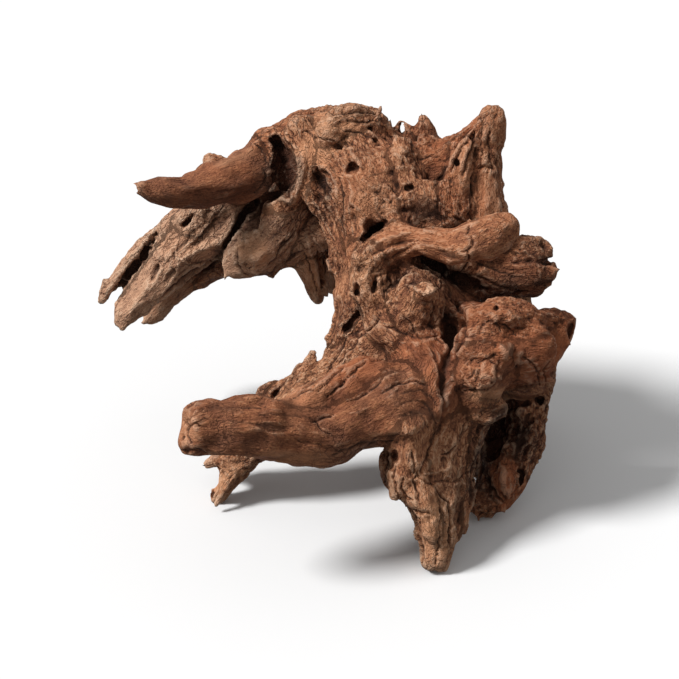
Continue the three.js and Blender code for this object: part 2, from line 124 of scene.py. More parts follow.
def apply_modifiers(thing):
    """Replaces an object's mesh by what its modifiers make of it."""
    bpy.context.view_layer.update()
    graph = bpy.context.evaluated_depsgraph_get()
    mesh = bpy.data.meshes.new_from_object(thing.evaluated_get(graph))
    thing.modifiers.clear()
    thing.data = mesh


form = bmesh.new()
form.from_mesh(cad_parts["driftwood"].data)
bmesh.ops.remove_doubles(form, verts=form.verts, dist=MERGE)
print("merged copy:", len(form.verts), "points,", len(form.faces), "faces")
wood = object_from(form, "driftwood_skin")

# %% [markdown]
# Voxel remeshing lays one even net of small squares over any closed shape, and melts parts that overlap
# into one. That suits wood that grew as one piece. The flat facets of the solid are then eased away by
# smoothing. Plain smoothing shrinks thin tips, so each step in is followed by a slightly larger step out.

# %% Even net
COARSE_NET = 2.2 * MM
MIDDLE_NET = 1.6 * MM
FINE_NET = 1.25 * MM
SPREAD = 0.5  # how far one step takes a value towards the mean of its neighbours
EASE_IN = 0.5
EASE_OUT = -0.52
COARSE_EASES, MIDDLE_EASES = 10, 2  # how often each net is smoothed


def remesh(thing, size):
    """Covers an object with an even net of squares of that size."""
    net = thing.modifiers.new("net", "REMESH")
    net.mode = "VOXEL"
    net.voxel_size = size
    apply_modifiers(thing)
    print(thing.name, "net:", len(thing.data.vertices), "points")


def places_of(thing):
    """An object's points as rows of x, y and z."""
    flat = np.empty(len(thing.data.vertices) * 3, np.float32)
    thing.data.vertices.foreach_get("co", flat)
    return flat.reshape(-1, 3).astype(float)


def normals_of(thing):
    """The outward direction at each of an object's points."""
    flat = np.empty(len(thing.data.vertices) * 3, np.float32)
    thing.data.vertices.foreach_get("normal", flat)
    return flat.reshape(-1, 3).astype(float)


def place(thing, points):
    """Moves an object's points."""
    thing.data.vertices.foreach_set("co", points.astype(np.float32).ravel())
    thing.data.update()


class Net:
    """Which points of a mesh are neighbours, so that values can be spread from each to the next."""

    def __init__(self, thing):
        pairs = np.empty(len(thing.data.edges) * 2, np.int32)
        thing.data.edges.foreach_get("vertices", pairs)
        self.a, self.b = pairs.reshape(-1, 2).T
        self.count = len(thing.data.vertices)
        ends = np.concatenate([self.a, self.b])
        self.degree = np.maximum(np.bincount(ends, minlength=self.count), 1)

    def mean(self, values):
        """The mean of each point's neighbours."""
        def total(column):
            there = np.bincount(self.a, column[self.b], self.count)
            return there + np.bincount(self.b, column[self.a], self.count)
        if values.ndim == 1:
            return total(values) / self.degree
        return np.stack([total(c) for c in values.T], axis=1) / self.degree[:, None]

    def spread(self, values, steps):
        """Blurs values over the net."""
        for _ in range(steps):
            values = values + SPREAD * (self.mean(values) - values)
        return values

    def ease(self, values, steps):
        """Smooths without shrinking."""
        for _ in range(steps):
            values = values + EASE_IN * (self.mean(values) - values)
            values = values + EASE_OUT * (self.mean(values) - values)
        return values


remesh(wood, COARSE_NET)
place(wood, Net(wood).ease(places_of(wood), COARSE_EASES))

# %% [markdown]
# The solid leaves a few grooves that the real wood doesn't have, and a rounded bar bridges each of them.
# Broken wood also ends in teeth and splinters, and each of those is a small cone. Both lists give two places
# in the picture. A bar runs between them, and a splinter runs from its foot out to its tip, which may lie
# beside the wood. They are made now, because easing the facets would have melted them.

# %% Where the bars and splinters are
# name: first x, y and last x, y in pixels, width in mm, thickness as a share of the width
BARS = {
    "cheek": (318, 148, 322, 212, 30, 0.45),
    "brow foot": (301, 166, 268, 236, 28, 0.5),
    "valley floor": (394, 204, 468, 206, 38, 0.4),
    "tongue body": (503, 466, 508, 499, 27, 0.85),
    "lump brow": (474, 321, 540, 325, 38, 0.5),
    "lump face": (518, 328, 530, 376, 48, 0.5),
    "lump cheek": (480, 326, 482, 362, 40, 0.45),
    "horn top": (489, 146, 490, 108, 20, 0.7),
}
# name: foot x, y and tip x, y in pixels, width in mm, thickness as a share of the width
SPLINTERS = {
    "plate foot": (322, 282, 329, 301, 12, 0.4),
    "inner tip": (127, 314, 121, 331, 20, 0.7),
    "outer tip": (113, 284, 99, 303, 20, 0.8),
    "knee edge": (402, 474, 393, 500, 26, 0.7),
    "flange shoulder high": (292, 388, 300, 362, 14, 0.6),
    "flange shoulder": (304, 384, 314, 350, 20, 0.6),
    "rim tooth": (374, 132, 382, 104, 9, 0.7),
    "rim tooth right": (386, 136, 391, 117, 10, 0.7),
    "rim stub": (397, 146, 396, 126, 8, 0.8),
    "rim low": (404, 148, 404, 132, 7, 0.8),
    "curl root": (409, 148, 412, 121, 7.5, 0.8),
    "curl tip": (412, 139, 399, 115, 6, 0.8),
    "spire": (425, 152, 421, 112, 13, 0.5),
    "spire shoulder": (432, 152, 434, 130, 9, 0.5),
    "ramp tooth": (452, 150, 463, 129, 8, 0.6),
    "ramp tooth high": (466, 142, 476, 122, 8, 0.6),
    "arm tip upper": (154, 188, 133, 183, 11, 0.8),
    "arm tip lower": (158, 195, 134, 193, 10, 0.8),
    "ear tip": (216, 166, 206, 158, 8, 0.5),
    "ledge tooth": (155, 312, 146, 324, 8, 0.6),
    "ledge tooth right": (172, 300, 180, 306, 7, 0.6),
    "drip": (226, 272, 224, 284, 5, 0.8),
    "drip right": (272, 268, 272, 282, 8, 0.8),
    "spike tip": (313, 284, 319, 305, 6, 0.8),
    "thorn": (425, 296, 436, 287, 5, 0.8),
    "fin tooth": (542, 271, 562, 270, 11, 0.5),
    "fin tooth low": (532, 289, 553, 286, 9, 0.5),
    "lump thorn": (562, 326, 579, 316, 8, 0.6),
    "lump thorn low": (560, 338, 572, 345, 10, 0.5),
    "skirt tooth": (538, 374, 555, 382, 14, 0.6),
    "lobe tooth high": (536, 402, 552, 394, 14, 0.6),
    "roof tooth": (500, 408, 508, 420, 9, 0.5),
    "roof tooth left": (486, 414, 482, 428, 9, 0.5),
    "lump edge": (546, 352, 560, 350, 9, 0.5),
    "lobe foot": (482, 500, 477, 523, 12, 0.6),
    "lobe foot right": (500, 498, 505, 514, 14, 0.6),
    "foot tooth": (445, 560, 448, 577, 6, 0.6),
    "foot tooth left": (432, 560, 430, 574, 6, 0.6),
    "prong tip": (232, 474, 215, 507, 12, 0.8),
    "prong side": (226, 458, 200, 467, 10, 0.8),
    "ledge blade": (158, 310, 140, 326, 13, 0.4),
    "ledge blade right": (168, 300, 185, 297, 12, 0.4),
    "flange tooth": (294, 372, 288, 376, 8, 0.6),
    "neck flake": (334, 205, 322, 214, 6, 0.3),
    "neck flake low": (326, 225, 334, 240, 6, 0.3),
    "lobe bulge": (526, 430, 546, 434, 30, 0.6),
}

print(len(BARS), "bars and", len(SPLINTERS), "splinters listed")

# %% [markdown]
# A ray from the eye finds the wood behind a place in the picture. The shapes start a little below the skin,
# so that the next remesh joins them on. Each is made round, then flattened towards the eye and turned.

# %% Bars and splinters
SUNK = 5 * MM
BAR_REACH = 0.6  # half a bar's length, as a share of the way between its two places
TIP_WIDTH = 0.25  # a splinter's tip, as a share of its foot
SPLINTER_SIDES = 8
BALL_STEPS = 3  # how finely a ball is divided


def search_tree(thing):
    """What finds where a ray meets an object."""
    form = bmesh.new()
    form.from_mesh(thing.data)
    found = BVHTree.FromBMesh(form)
    form.free()
    return found


def lying_from(start, end, flat):
    """Moves a shape's middle to the middle of a line, and its z axis along the line."""
    axis = end - start
    side = axis.cross(forward).normalized()
    turn = Matrix((side, axis.cross(side).normalized(), axis.normalized())).transposed().to_4x4()
    return Matrix.Translation((start + end) / 2) @ turn @ Matrix.Diagonal((1, flat, 1, 1))


def add_bar(form, search, first, last, width, flat):
    """A rounded bar from the wood behind one place in the picture to the wood behind another."""
    start, end = (search.ray_cast(eye, sight(*at))[0] + sight(*at) * SUNK for at in (first, last))
    half = width * MM / 2
    size = Matrix.Diagonal((half, half, (end - start).length * BAR_REACH, 1))
    bmesh.ops.create_icosphere(
        form, subdivisions=BALL_STEPS, radius=1, matrix=lying_from(start, end, flat) @ size)


def add_splinter(form, search, foot, tip, width, flat):
    """A flattened cone from the wood behind its foot to the place of its tip, as far from the eye."""
    hit, _, _, depth = search.ray_cast(eye, sight(*foot))
    if hit is None:
        print("no wood behind", foot)
        return
    start = hit + sight(*foot) * SUNK
    end = eye + sight(*tip) * (depth + SUNK) / sight(*tip).dot(forward) * sight(*foot).dot(forward)
    half = width * MM / 2
    bmesh.ops.create_cone(
        form, cap_ends=True, segments=SPLINTER_SIDES, radius1=half, radius2=half * TIP_WIDTH,
        depth=(end - start).length, matrix=lying_from(start, end, flat))


form = bmesh.new()
search = search_tree(wood)
for first_x, first_y, last_x, last_y, width, flat in BARS.values():
    add_bar(form, search, (first_x, first_y), (last_x, last_y), width, flat)
for foot_x, foot_y, tip_x, tip_y, width, flat in SPLINTERS.values():
    add_splinter(form, search, (foot_x, foot_y), (tip_x, tip_y), width, flat)
print("faces of bars and splinters:", len(form.faces))
form.from_mesh(wood.data)
bpy.data.objects.remove(wood)
wood = object_from(form, "driftwood_skin")
remesh(wood, MIDDLE_NET)
place(wood, Net(wood).ease(places_of(wood), MIDDLE_EASES))

# %% [markdown]
# Rot leaves holes and slots. Each is cut by a rounded block, pushed into the wood along the line of sight,
# so that it lies exactly where it is seen. This list says where they are and how large.

# %% Where the holes are
# name: x, y in pixels, half length, half width and depth in mm, turn of the length in degrees
HOLES = {
    "prong gap": (215, 484, 14, 2.8, 18, 76),
    "jaw slot end": (114, 297, 9, 3.6, 30, 50),
    "cave": (285, 168, 23, 11, 22, 97),
    "cave top": (279, 146, 11, 6, 15, 120),
    "cave foot": (270, 197, 12, 4, 13, 20),
    "channel": (241, 220, 22, 3, 13, 60),
    "channel low": (226, 243, 12, 2.4, 11, 66),
    "channel high": (253, 205, 9, 4, 12, 60),
    "arm slot": (187, 222, 9, 2.6, 8, 48),
    "jaw slot high": (154, 236, 7, 2.4, 6, 45),
    "jaw slot": (146, 251, 8, 2.6, 6, 58),
    "jaw slot mid": (131, 270, 9, 4, 8, 50),
    "jaw slot low": (119, 289, 8, 3.4, 8, 48),
    "jaw dent": (155, 272, 12, 2.4, 3.4, 60),
    "red hollow": (330, 213, 8, 4.5, 6, 130),
    "crown pit": (337, 123, 6, 1.7, 6, 175),
    "crown pit right": (371, 129, 4, 1.6, 6, 170),
    "crown rough": (339, 147, 6, 2.4, 4, 20),
    "crown hole": (352, 168, 7, 4.8, 9, 28),
    "rim gap": (377, 142, 5, 1.8, 6, 125),
    "rim gap right": (385, 139, 5, 1.6, 6, 130),
    "cheek pit": (356, 200, 4, 1.6, 4, 60),
    "cheek pit low": (352, 208, 3, 1.4, 4, 150),
    "valley pit": (410, 188, 3.4, 2.4, 8, 20),
    "oval hole": (374, 231, 11, 3.9, 12, 36),
    "round hole": (375, 283, 7, 3.2, 8, 75),
    "slot beside it": (357, 291, 6, 3, 7, 85),
    "long slot": (358, 314, 9, 3, 9, 45),
    "long slot low": (347, 327, 6, 3, 9, 55),
    "under the branch": (434, 266, 12, 4.6, 12, 155),
    "under the branch left": (420, 262, 7, 4, 10, 100),
    "lump pit": (497, 308, 3, 2, 7, 90),
    "body pit": (377, 360, 6, 1.6, 6, 0),
    "leg pocket": (394, 456, 3.6, 4.6, 12, 0),
    "leg pit": (443, 460, 2.6, 1.8, 4, 30),
    "lobe cave": (497, 432, 24, 10, 18, 76),
    "lobe cave right": (512, 428, 12, 6, 12, 80),
    "lobe cave top": (520, 404, 10, 3, 9, 6),
    "lobe cave low": (477, 470, 16, 2.6, 7, 85),
    "lobe pit": (540, 401, 4, 4, 10, 60),
    "lobe groove": (522, 474, 9, 1.8, 6, 80),
    "horn slot": (458, 144, 11, 1.2, 5, 58),
    "horn slot mid": (457, 165, 6, 1.3, 5, 78),
    "horn slot high": (471, 140, 9, 1.1, 5, 68),
    "horn slot right": (475, 184, 7, 1.4, 4, 115),
    "arm end pit": (192, 411, 8, 1.6, 3, 50),
    "arm end gap": (182, 437, 4, 2, 4, 150),
    "stub ring": (546, 245, 4.5, 4, 6, 60),
    "thorn hollow": (570, 331, 8, 3.6, 8, 60),
    "fin lens": (519, 293, 10, 2, 4, 14),
    "edge hole": (319, 355, 4, 1.6, 5, 55),
    "tooth gap": (275, 393, 7, 1.6, 6, 58),
    "tooth gap right": (285, 386, 5, 1.4, 5, 120),
    "flange dent": (340, 384, 5, 1.6, 4, 40),
    "lobe hollow right": (527, 452, 8, 4, 5, 70),
    "lobe hollow high": (530, 420, 6, 4, 5, 40),
    "stub notch": (551, 260, 5, 2.6, 14, 10),
    "rim notch": (393, 122, 5, 4, 24, 90),
    "curl eye": (402, 129, 6, 2.2, 24, 85),
    "curl gap": (412, 119, 7, 1.4, 20, 90),
    "lobe cave high": (508, 408, 10, 6, 12, 30),
    "cave middle": (284, 157, 9, 7, 15, 110),
    "oval hole low": (368, 235, 7, 3.4, 10, 36),
    "oval hole high": (380, 226, 7, 3.4, 10, 36),
}
print(len(HOLES), "holes listed")

# %% [markdown]
# The blocks are melted together and roughened first, because a clean cut needs one closed cutter, and no
# hole in rotten wood is a perfect oval. More holes go on the sides and the back, which the picture doesn't
# show. They are random, with a fixed seed, and are pushed straight in. What a cut sets free is dropped.

# %% Holes
RANDOM_HOLES = 110
HOLE_SEED = 11
HALF_WIDTHS = (1.2, 3.6)  # least and most of a random hole, in mm
STRETCHES = (1, 3.5)  # its length over its width
DEPTHS = (3, 9)  # mm
BACKWARD = 0.1  # a random hole faces away from the eye by at least this cosine
CUTTER_NET = 1.1 * MM
ROUGH_SIZE = 6 * MM  # the lumps on a cutter
ROUGH_HEIGHT = 1.5 * MM


def add_block(form, at, long_way, inward, long_half, wide_half, deep):
    """A rounded cutter with its middle at a point of the skin."""
    wide_way = inward.cross(long_way).normalized()
    turn = Matrix((long_way, wide_way, inward)).transposed().to_4x4()
    size = Matrix.Diagonal((long_half * MM, wide_half * MM, deep * MM, 1))
    bmesh.ops.create_icosphere(
        form, subdivisions=BALL_STEPS, radius=1, matrix=Matrix.Translation(at) @ turn @ size)


def keep_largest(thing):
    """Drops splinters that a cutter set free, and closed bubbles inside the wood."""
    form = bmesh.new()
    form.from_mesh(thing.data)
    left, parts = set(form.verts), []
    while left:
        part, edge = set(), [left.pop()]
        while edge:
            point = edge.pop()
            part.add(point)
            for link in point.link_edges:
                other = link.other_vert(point)
                if other in left:
                    left.discard(other)
                    edge.append(other)
        parts.append(part)
    parts.sort(key=len)
    for part in parts[:-1]:
        bmesh.ops.delete(form, geom=list(part), context="VERTS")
    form.to_mesh(thing.data)
    form.free()
    print(len(parts) - 1, "loose parts dropped")


search = search_tree(wood)
form = bmesh.new()
for x, y, long_half, wide_half, deep, turn in HOLES.values():
    inward = sight(x, y)
    hit = search.ray_cast(eye, inward)[0]
    if hit is None:
        print("no wood behind", (x, y))
        continue
    angle = math.radians(turn)
    long_way = picture_right * math.cos(angle) + picture_up * math.sin(angle)
    long_way = (long_way - inward * long_way.dot(inward)).normalized()
    add_block(form, hit, long_way, inward, long_half, wide_half, deep)

dice = np.random.default_rng(HOLE_SEED)
points, normals = places_of(wood), normals_of(wood)
view_way = np.array(eye) - points
view_way /= np.linalg.norm(view_way, axis=1)[:, None]
away = np.flatnonzero((normals * view_way).sum(1) < -BACKWARD)
for index in dice.choice(away, RANDOM_HOLES, replace=False):
    inward = -Vector(normals[index])
    long_way = inward.orthogonal().normalized()
    long_way.rotate(Matrix.Rotation(dice.uniform(0, math.tau), 3, inward))
    wide = dice.uniform(*HALF_WIDTHS)
    long = wide * dice.uniform(*STRETCHES)
    add_block(form, Vector(points[index]), long_way, inward, long, wide, dice.uniform(*DEPTHS))
cutter = object_from(form, "cutter")
remesh(cutter, CUTTER_NET)
at, outward = places_of(cutter), normals_of(cutter)
lumps = np.array([noise.noise(Vector(row) / ROUGH_SIZE) for row in at])
place(cutter, at + ROUGH_HEIGHT * lumps[:, None] * outward)
cut = wood.modifiers.new("cut", "BOOLEAN")
cut.object = cutter
cut.operation = "DIFFERENCE"
cut.solver = "MANIFOLD"
apply_modifiers(wood)
bpy.data.objects.remove(cutter)
remesh(wood, FINE_NET)
keep_largest(wood)

# %% [markdown]
# Wood grows, splits and wears along its fibres, and the fibres follow each limb. So the script needs to
# know, at each point of the skin, which limb it is on and which way that limb runs. The table repeats the
# limbs of the solid. Three numbers say how each looks in the picture: how rotten, how pale and how red.

# %% Limbs
# name: rotten, pale and red, each from 0 to 1 (pale may be below 0), then stations x, y, z, radius in mm
LIMBS = {
    "near arm": (0.06, -0.1, 0.5, [(-94, -144, 134, 15), (-83, -140, 133, 17), (-61, -132, 129, 18.5),
        (-31, -118, 116, 20.5), (-4, -104, 106, 21.5), (19, -88, 109, 22), (45, -72, 113, 26.5),
        (68, -54, 101, 29.5)]),
    "arm knob": (0.6, 0.2, 0.6, [(-93, -144, 125, 8), (-96, -142, 120, 5.5)]),
    "arm top": (0.15, -0.2, 0.8, [(-78, -132, 137, 10), (-42, -116, 130, 11), (-8, -94, 128, 12),
        (24, -68, 131, 15)]),
    "shoulder": (0.15, -0.25, 0.8, [(67, -62, 114, 24.5), (75, -48, 125, 21.5), (64, -34, 135, 21.5)]),
    "far arm": (0.05, -0.3, 0.5, [(-138, 23, 239, 3), (-132, 27, 235, 6), (-122, 34, 231, 10),
        (-108, 43, 227, 12.5), (-94, 53, 225, 14), (-80, 64, 226, 17), (-65, 78, 225, 19.5),
        (-49, 94, 225, 22), (-31, 112, 223, 24)]),
    "crown": (0.5, 0.75, 0.75, [(40, 80, 234, 25), (18, 86, 240, 31), (-5, 92, 240, 31.5),
        (-26, 96, 235, 29), (-44, 102, 224, 24), (-61, 106, 216, 19.5), (-72, 108, 211, 13)]),
    "crown knob": (0.55, 0.9, 0.5, [(15, 70, 270, 13.5), (-1, 60, 268, 11)]),
    "crown brow": (0.35, 0.8, 0.5, [(-23, 76, 263, 9.5), (-17, 66, 250, 8), (-21, 60, 235, 7.5),
        (-31, 58, 216, 6.5)]),
    "ear": (0.7, 0.4, 0.5, [(-73, 116, 211, 9.5), (-85, 118, 216, 8), (-94, 119, 219, 5.5)]),
    "neck": (0.55, 0.5, 0.6, [(81, -2, 122, 40), (58, 8, 154, 34), (45, 20, 180, 30.5),
        (40, 32, 204, 32.5), (32, 50, 225, 35.5), (19, 70, 236, 33.5)]),
    "neck left": (0.6, 0.2, 0.3, [(-1, 66, 226, 18), (9, 56, 204, 18), (15, 40, 184, 17),
        (19, 26, 162, 18), (20, 14, 143, 20), (15, 6, 126, 16.5)]),
    "neck fold": (0.6, 0.3, 0.4, [(50, 40, 249, 12.5), (56, 26, 233, 11), (50, 14, 215, 9.5),
        (39, 4, 200, 8.5)]),
    "neck rib": (0.6, 0.4, 0.3, [(29, -8, 195, 11), (25, -14, 178, 9.5), (29, -22, 160, 10),
        (44, -32, 146, 11.5)]),
    "strut": (0.3, 1, 0, [(-12, 76, 239, 15), (-21, 70, 216, 11.5), (-32, 73, 193, 12),
        (-49, 73, 173, 17.5), (-64, 72, 162, 17), (-74, 74, 154, 11.5)]),
    "web": (0.12, 0.9, 0, [(-64, 85, 149, 9.5), (-36, 87, 167, 17), (-13, 80, 180, 17),
        (10, 70, 195, 16.5)]),
    "web top": (0.6, 0.1, 0.1, [(-60, 106, 196, 17), (-40, 102, 185, 15.5), (-25, 96, 175, 12.5)]),
    "spike": (0.12, 0.9, 0.2, [(-23, 88, 170, 14), (-18, 85, 149, 10), (-13, 83, 127, 6.5),
        (-11, 82, 117, 3.5)]),
    "drop": (0.4, 0.4, 0.4, [(-40, 86, 167, 14), (-46, 83, 150, 6), (-47, 83, 139, 3.5)]),
    "plate": (0.1, 1, 0, [(-6, 112, 159, 13.5), (0, 114, 135, 9.5), (2, 115, 112, 7)]),
    "outer finger": (0.35, 1, 0, [(-83, 108, 195, 15.5), (-109, 100, 179, 14), (-132, 94, 163, 11),
        (-152, 89, 146, 9), (-168, 85, 129, 7.5), (-176, 83, 122, 5.5)]),
    "inner finger": (0.22, 1, 0, [(-71, 102, 190, 21), (-95, 94, 172, 21.5), (-117, 87, 155, 19.5),
        (-138, 80, 134, 14), (-155, 76, 115, 10), (-165, 74, 105, 7)]),
    "finger root": (0.5, 0.9, 0, [(-85, 98, 204, 17), (-105, 86, 182, 14.5)]),
    "ledge": (0.2, 0.8, 0, [(-73, 116, 151, 17.5), (-93, 118, 142, 13.5), (-114, 116, 125, 9.5),
        (-129, 112, 107, 9.5), (-145, 110, 91, 7.5)]),
    "ledge web": (0.3, 0.1, 0, [(-67, 95, 144, 8), (-87, 108, 133, 7), (-106, 114, 121, 7)]),
    "flange": (0.5, 0.5, 0.2, [(40, -2, 118, 32), (14, -6, 98, 24.5), (-12, -10, 83, 21),
        (-34, -14, 69, 21), (-54, -18, 56, 19), (-69, -22, 38, 13), (-80, -26, 19, 8.5),
        (-87, -25, 3, 6)]),
    "flange knob": (0.7, 0.1, 0.3, [(-33, -4, 74, 10.5), (-46, -2, 78, 9)]),
    "prong": (0.12, 1, 0, [(-53, -6, 49, 13.5), (-72, -2, 33, 10), (-88, 0, 21, 5.5),
        (-95, 0, 17, 3.5)]),
    "front leg": (0.35, 0.9, 0.3, [(72, -45, 100, 33.5), (69, -65, 78, 29.5), (70, -80, 57, 25),
        (76, -96, 36, 17), (76, -108, 22, 14.5), (74, -116, 8, 9.5)]),
    "shin": (0.25, 0.6, 0.3, [(54, -90, 105, 14), (54, -98, 81, 12), (61, -110, 60, 9),
        (70, -118, 36, 6.5)]),
    "thigh": (0.5, 0.1, 0.3, [(101, -45, 104, 19), (95, -60, 75, 14.5), (91, -74, 45, 14),
        (88, -94, 24, 10)]),
    "leg lobe": (0.6, 0.1, 0.3, [(54, -68, 61, 16), (49, -72, 52, 11), (43, -74, 65, 7)]),
    "right lump": (0.3, -0.3, 0.9, [(91, -20, 128, 32), (117, -28, 135, 30.5), (138, -24, 134, 27.5),
        (155, -16, 138, 19), (170, -11, 144, 9), (179, -8, 147, 3)]),
    "lump brow": (0.4, 0.1, 0.7, [(99, -44, 163, 8.5), (123, -46, 166, 9), (147, -32, 154, 8.5),
        (165, -16, 149, 5)]),
    "lump skirt": (0.5, 0.4, 0.3, [(139, -20, 118, 22), (151, -12, 98, 13.5), (154, -10, 83, 9)]),
    "knot": (0.3, -0.1, 0.6, [(116, -35, 132, 21.5), (106, -60, 129, 18), (103, -62, 118, 13.5)]),
    "knot lip": (0.5, 0.8, 0.4, [(91, -54, 107, 6.5), (105, -66, 104, 6.5), (121, -62, 103, 5.5)]),
    "lobe": (0.8, 0, 0.3, [(144, -4, 89, 16.5), (143, -12, 68, 18), (138, -20, 51, 19),
        (131, -28, 35, 17.5), (124, -38, 22, 14.5), (117, -46, 13, 9.5)]),
    "lobe toe": (0.6, 0.2, 0.7, [(137, -30, 34, 10), (130, -40, 19, 10.5), (109, -50, 14, 8)]),
    "lobe wall": (0.7, -0.4, 0.1, [(128, 10, 68, 20), (120, 2, 37, 19), (118, -12, 26, 13.5)]),
    "tongue": (0.2, 0.1, 1, [(128, -36, 38, 14), (130, -42, 24, 14), (129, -44, 14, 11)]),
    "thorn lump": (0.5, 0.1, 0.3, [(64, -22, 170, 19.5), (58, -24, 156, 17.5)]),
    "thorn": (0.3, 0.3, 0.3, [(66, -42, 186, 5), (69, -54, 196, 3)]),
    "bent branch": (0.15, 0.35, 0.6, [(30, 8, 190, 17.5), (48, -2, 205, 13), (69, -14, 211, 10),
        (86, -22, 211, 12), (102, -24, 216, 14.5), (115, -20, 220, 14), (123, -16, 224, 10)]),
    "stub": (0.5, 0.4, 0.4, [(125, 30, 185, 10.5), (144, 30, 187, 8), (155, 28, 187, 7.5)]),
    "fin": (0.3, -0.2, 0.6, [(103, 30, 168, 24.5), (129, 28, 169, 20), (148, 26, 170, 15),
        (160, 25, 169, 6.5), (165, 24, 170, 3)]),
    "low fin": (0.3, 0.1, 0.6, [(137, 26, 154, 7.5), (157, 24, 156, 3.5)]),
    "horn": (0.35, 0.7, 0.6, [(118, 48, 285, 7), (116, 48, 273, 10), (114, 46, 258, 11.5),
        (111, 42, 240, 14.5), (110, 38, 222, 18.5), (109, 35, 205, 21.5), (99, 30, 185, 25)]),
    "horn rib": (0.5, 0.4, 0.8, [(95, 38, 261, 7.5), (92, 30, 241, 8), (95, 22, 222, 8.5)]),
    "ramp": (0.5, 0.3, 0.8, [(110, 48, 276, 6.5), (97, 50, 260, 9.5), (80, 55, 246, 15),
        (58, 60, 236, 19.5)]),
    "valley wall": (0.6, -0.2, 0.4, [(47, 52, 216, 22.5), (74, 58, 217, 22.5), (97, 50, 217, 21)]),
    "spire": (0.3, 0.3, 0.7, [(70, 94, 242, 10), (69, 96, 254, 7), (67, 97, 265, 2.5)]),
    "curl": (0.3, 0.3, 0.7, [(59, 98, 244, 3.5), (59, 99, 255, 2.5), (53, 100, 261, 2)]),
    "back rim": (0.6, 0.3, 0.4, [(34, 96, 248, 15), (59, 92, 238, 10), (82, 85, 237, 11.5)]),
    "jag": (0.5, 0.5, 0.3, [(27, 88, 268, 6.5), (38, 90, 263, 6)]),
    "rear leg": (0.4, 0.2, 0.3, [(67, 45, 136, 35), (80, 85, 85, 28.5), (82, 118, 42, 21.5),
        (77, 138, 6, 16)]),
    "rear toe": (0.4, 0.2, 0.3, [(94, 70, 97, 26.5), (117, 90, 61, 19.5), (141, 102, 41, 13),
        (154, 106, 24, 8)]),
    "rear knee": (0.5, 0.2, 0.4, [(95, 102, 66, 19.5), (106, 108, 57, 16.5)]),
    "back mass": (0.5, 0.1, 0.3, [(60, 70, 166, 32), (95, 76, 146, 29.5), (127, 76, 127, 20.5),
        (148, 82, 113, 8.5)]),
    "back root": (0.2, 0.3, 0.5, [(-26, 148, 119, 12.5), (-2, 126, 140, 17.5), (22, 95, 173, 25)]),
    "back wing": (0.6, 0.2, 0.3, [(49, 94, 206, 23), (32, 116, 175, 17.5), (14, 128, 151, 13)]),
    "back knob": (0.6, 0.3, 0.3, [(77, 102, 168, 19), (90, 120, 162, 12)]),
}
print(len(LIMBS), "limbs listed")

# %% [markdown]
# Each limb can measure where points lie beside it. It also straightens itself: a point's place is told by
# how far along the limb it is, and how far out to two sides. Patterns made in that straightened space
# bend with the limb. The two sides are carried along the line without turning about it.

# %% Limb measures


class Limb:
    """A limb's line, with an unturning frame of two sideways directions carried along it."""

    def __init__(self, stations):
        line = np.array(stations) * MM
        ways = [Vector(b[:3] - a[:3]) for a, b in zip(line, line[1:])]
        side = ways[0].orthogonal()
        run = 0
        self.pieces = []
        for index, way in enumerate(ways):
            if index:
                side.rotate(ways[index - 1].rotation_difference(way))
            side = (side - way * side.dot(way) / way.dot(way)).normalized()
            rows = np.array([side, way.normalized().cross(side), way.normalized()])
            start = np.array(Vector(line[index][:3]))
            self.pieces.append((start, np.array(way), line[index][3], line[index + 1][3], run, rows))
            run += way.length

    def measure(self, points):
        """How far points lie outside the limb, their place in its straightened space, and its direction."""
        best = np.full(len(points), np.inf)
        straight, heading = np.zeros((len(points), 3)), np.zeros((len(points), 3))
        for start, way, first, last, run, rows in self.pieces:
            share = np.clip((points - start) @ way / (way @ way), 0, 1)
            away = points - start - share[:, None] * way
            outside = np.linalg.norm(away, axis=1) - (first + share * (last - first))
            near = outside < best
            best[near] = outside[near]
            local = away[near] @ rows.T
            local[:, 2] += run + share[near] * np.linalg.norm(way)
            straight[near] = local
            heading[near] = rows[2]
        return best, straight, heading


# %% [markdown]
# With the table, each point gets a weight for every limb near it. From these come the blended looks, the
# blended direction of the fibres, and one place in the straightened space of its strongest limb.

# %% Grain
LIMB_BLEND = 3 * MM  # how far beside a limb another still counts
LIMB_APART = 0.37  # metres between two limbs in the straightened space
GRAIN_SPREAD = 8  # steps over the net
LOOK_SPREAD = 24
TINY, TINY_SQUARE = 1e-9, 1e-12  # keep a division by 0 away

points, normals = places_of(wood), normals_of(wood)
limbs = [Limb(stations) for *_, stations in LIMBS.values()]
looks = np.array([entry[:3] for entry in LIMBS.values()])
measured = [limb.measure(points) for limb in limbs]
outside = np.array([entry[0] for entry in measured])
weight = np.exp((outside.min(0) - outside) / LIMB_BLEND)
weight /= weight.sum(0)
rot, pale, red = (weight.T @ looks).T
strongest = weight.argmax(0)
straight = np.zeros_like(points)
for index, (_, place_on_limb, _) in enumerate(measured):
    mine = strongest == index
    straight[mine] = place_on_limb[mine] + index * LIMB_APART

net = Net(wood)
spin = sum(w[:, None, None] * h[:, :, None] * h[:, None, :] for w, (_, _, h) in zip(weight, measured))
spin = net.spread(spin.reshape(-1, 9), GRAIN_SPREAD).reshape(-1, 3, 3)
grain_way = np.linalg.eigh(spin)[1][:, :, 2]
grain_way -= (grain_way * normals).sum(1)[:, None] * normals
grain_way /= np.linalg.norm(grain_way, axis=1)[:, None] + TINY
rot, pale, red = net.spread(np.stack([rot, pale, red], axis=1), LOOK_SPREAD).T
print("strongest limbs used:", len(np.unique(strongest)))

# %% [markdown]
# Streaks that follow the fibres round every bend are made by combing. Each point starts with a random
# number, and then goes, again and again, half way to the mean of those neighbours that lie along the grain.
# This pulls the random dots out into long hairs. Few combings give short flecks, many give long cracks.

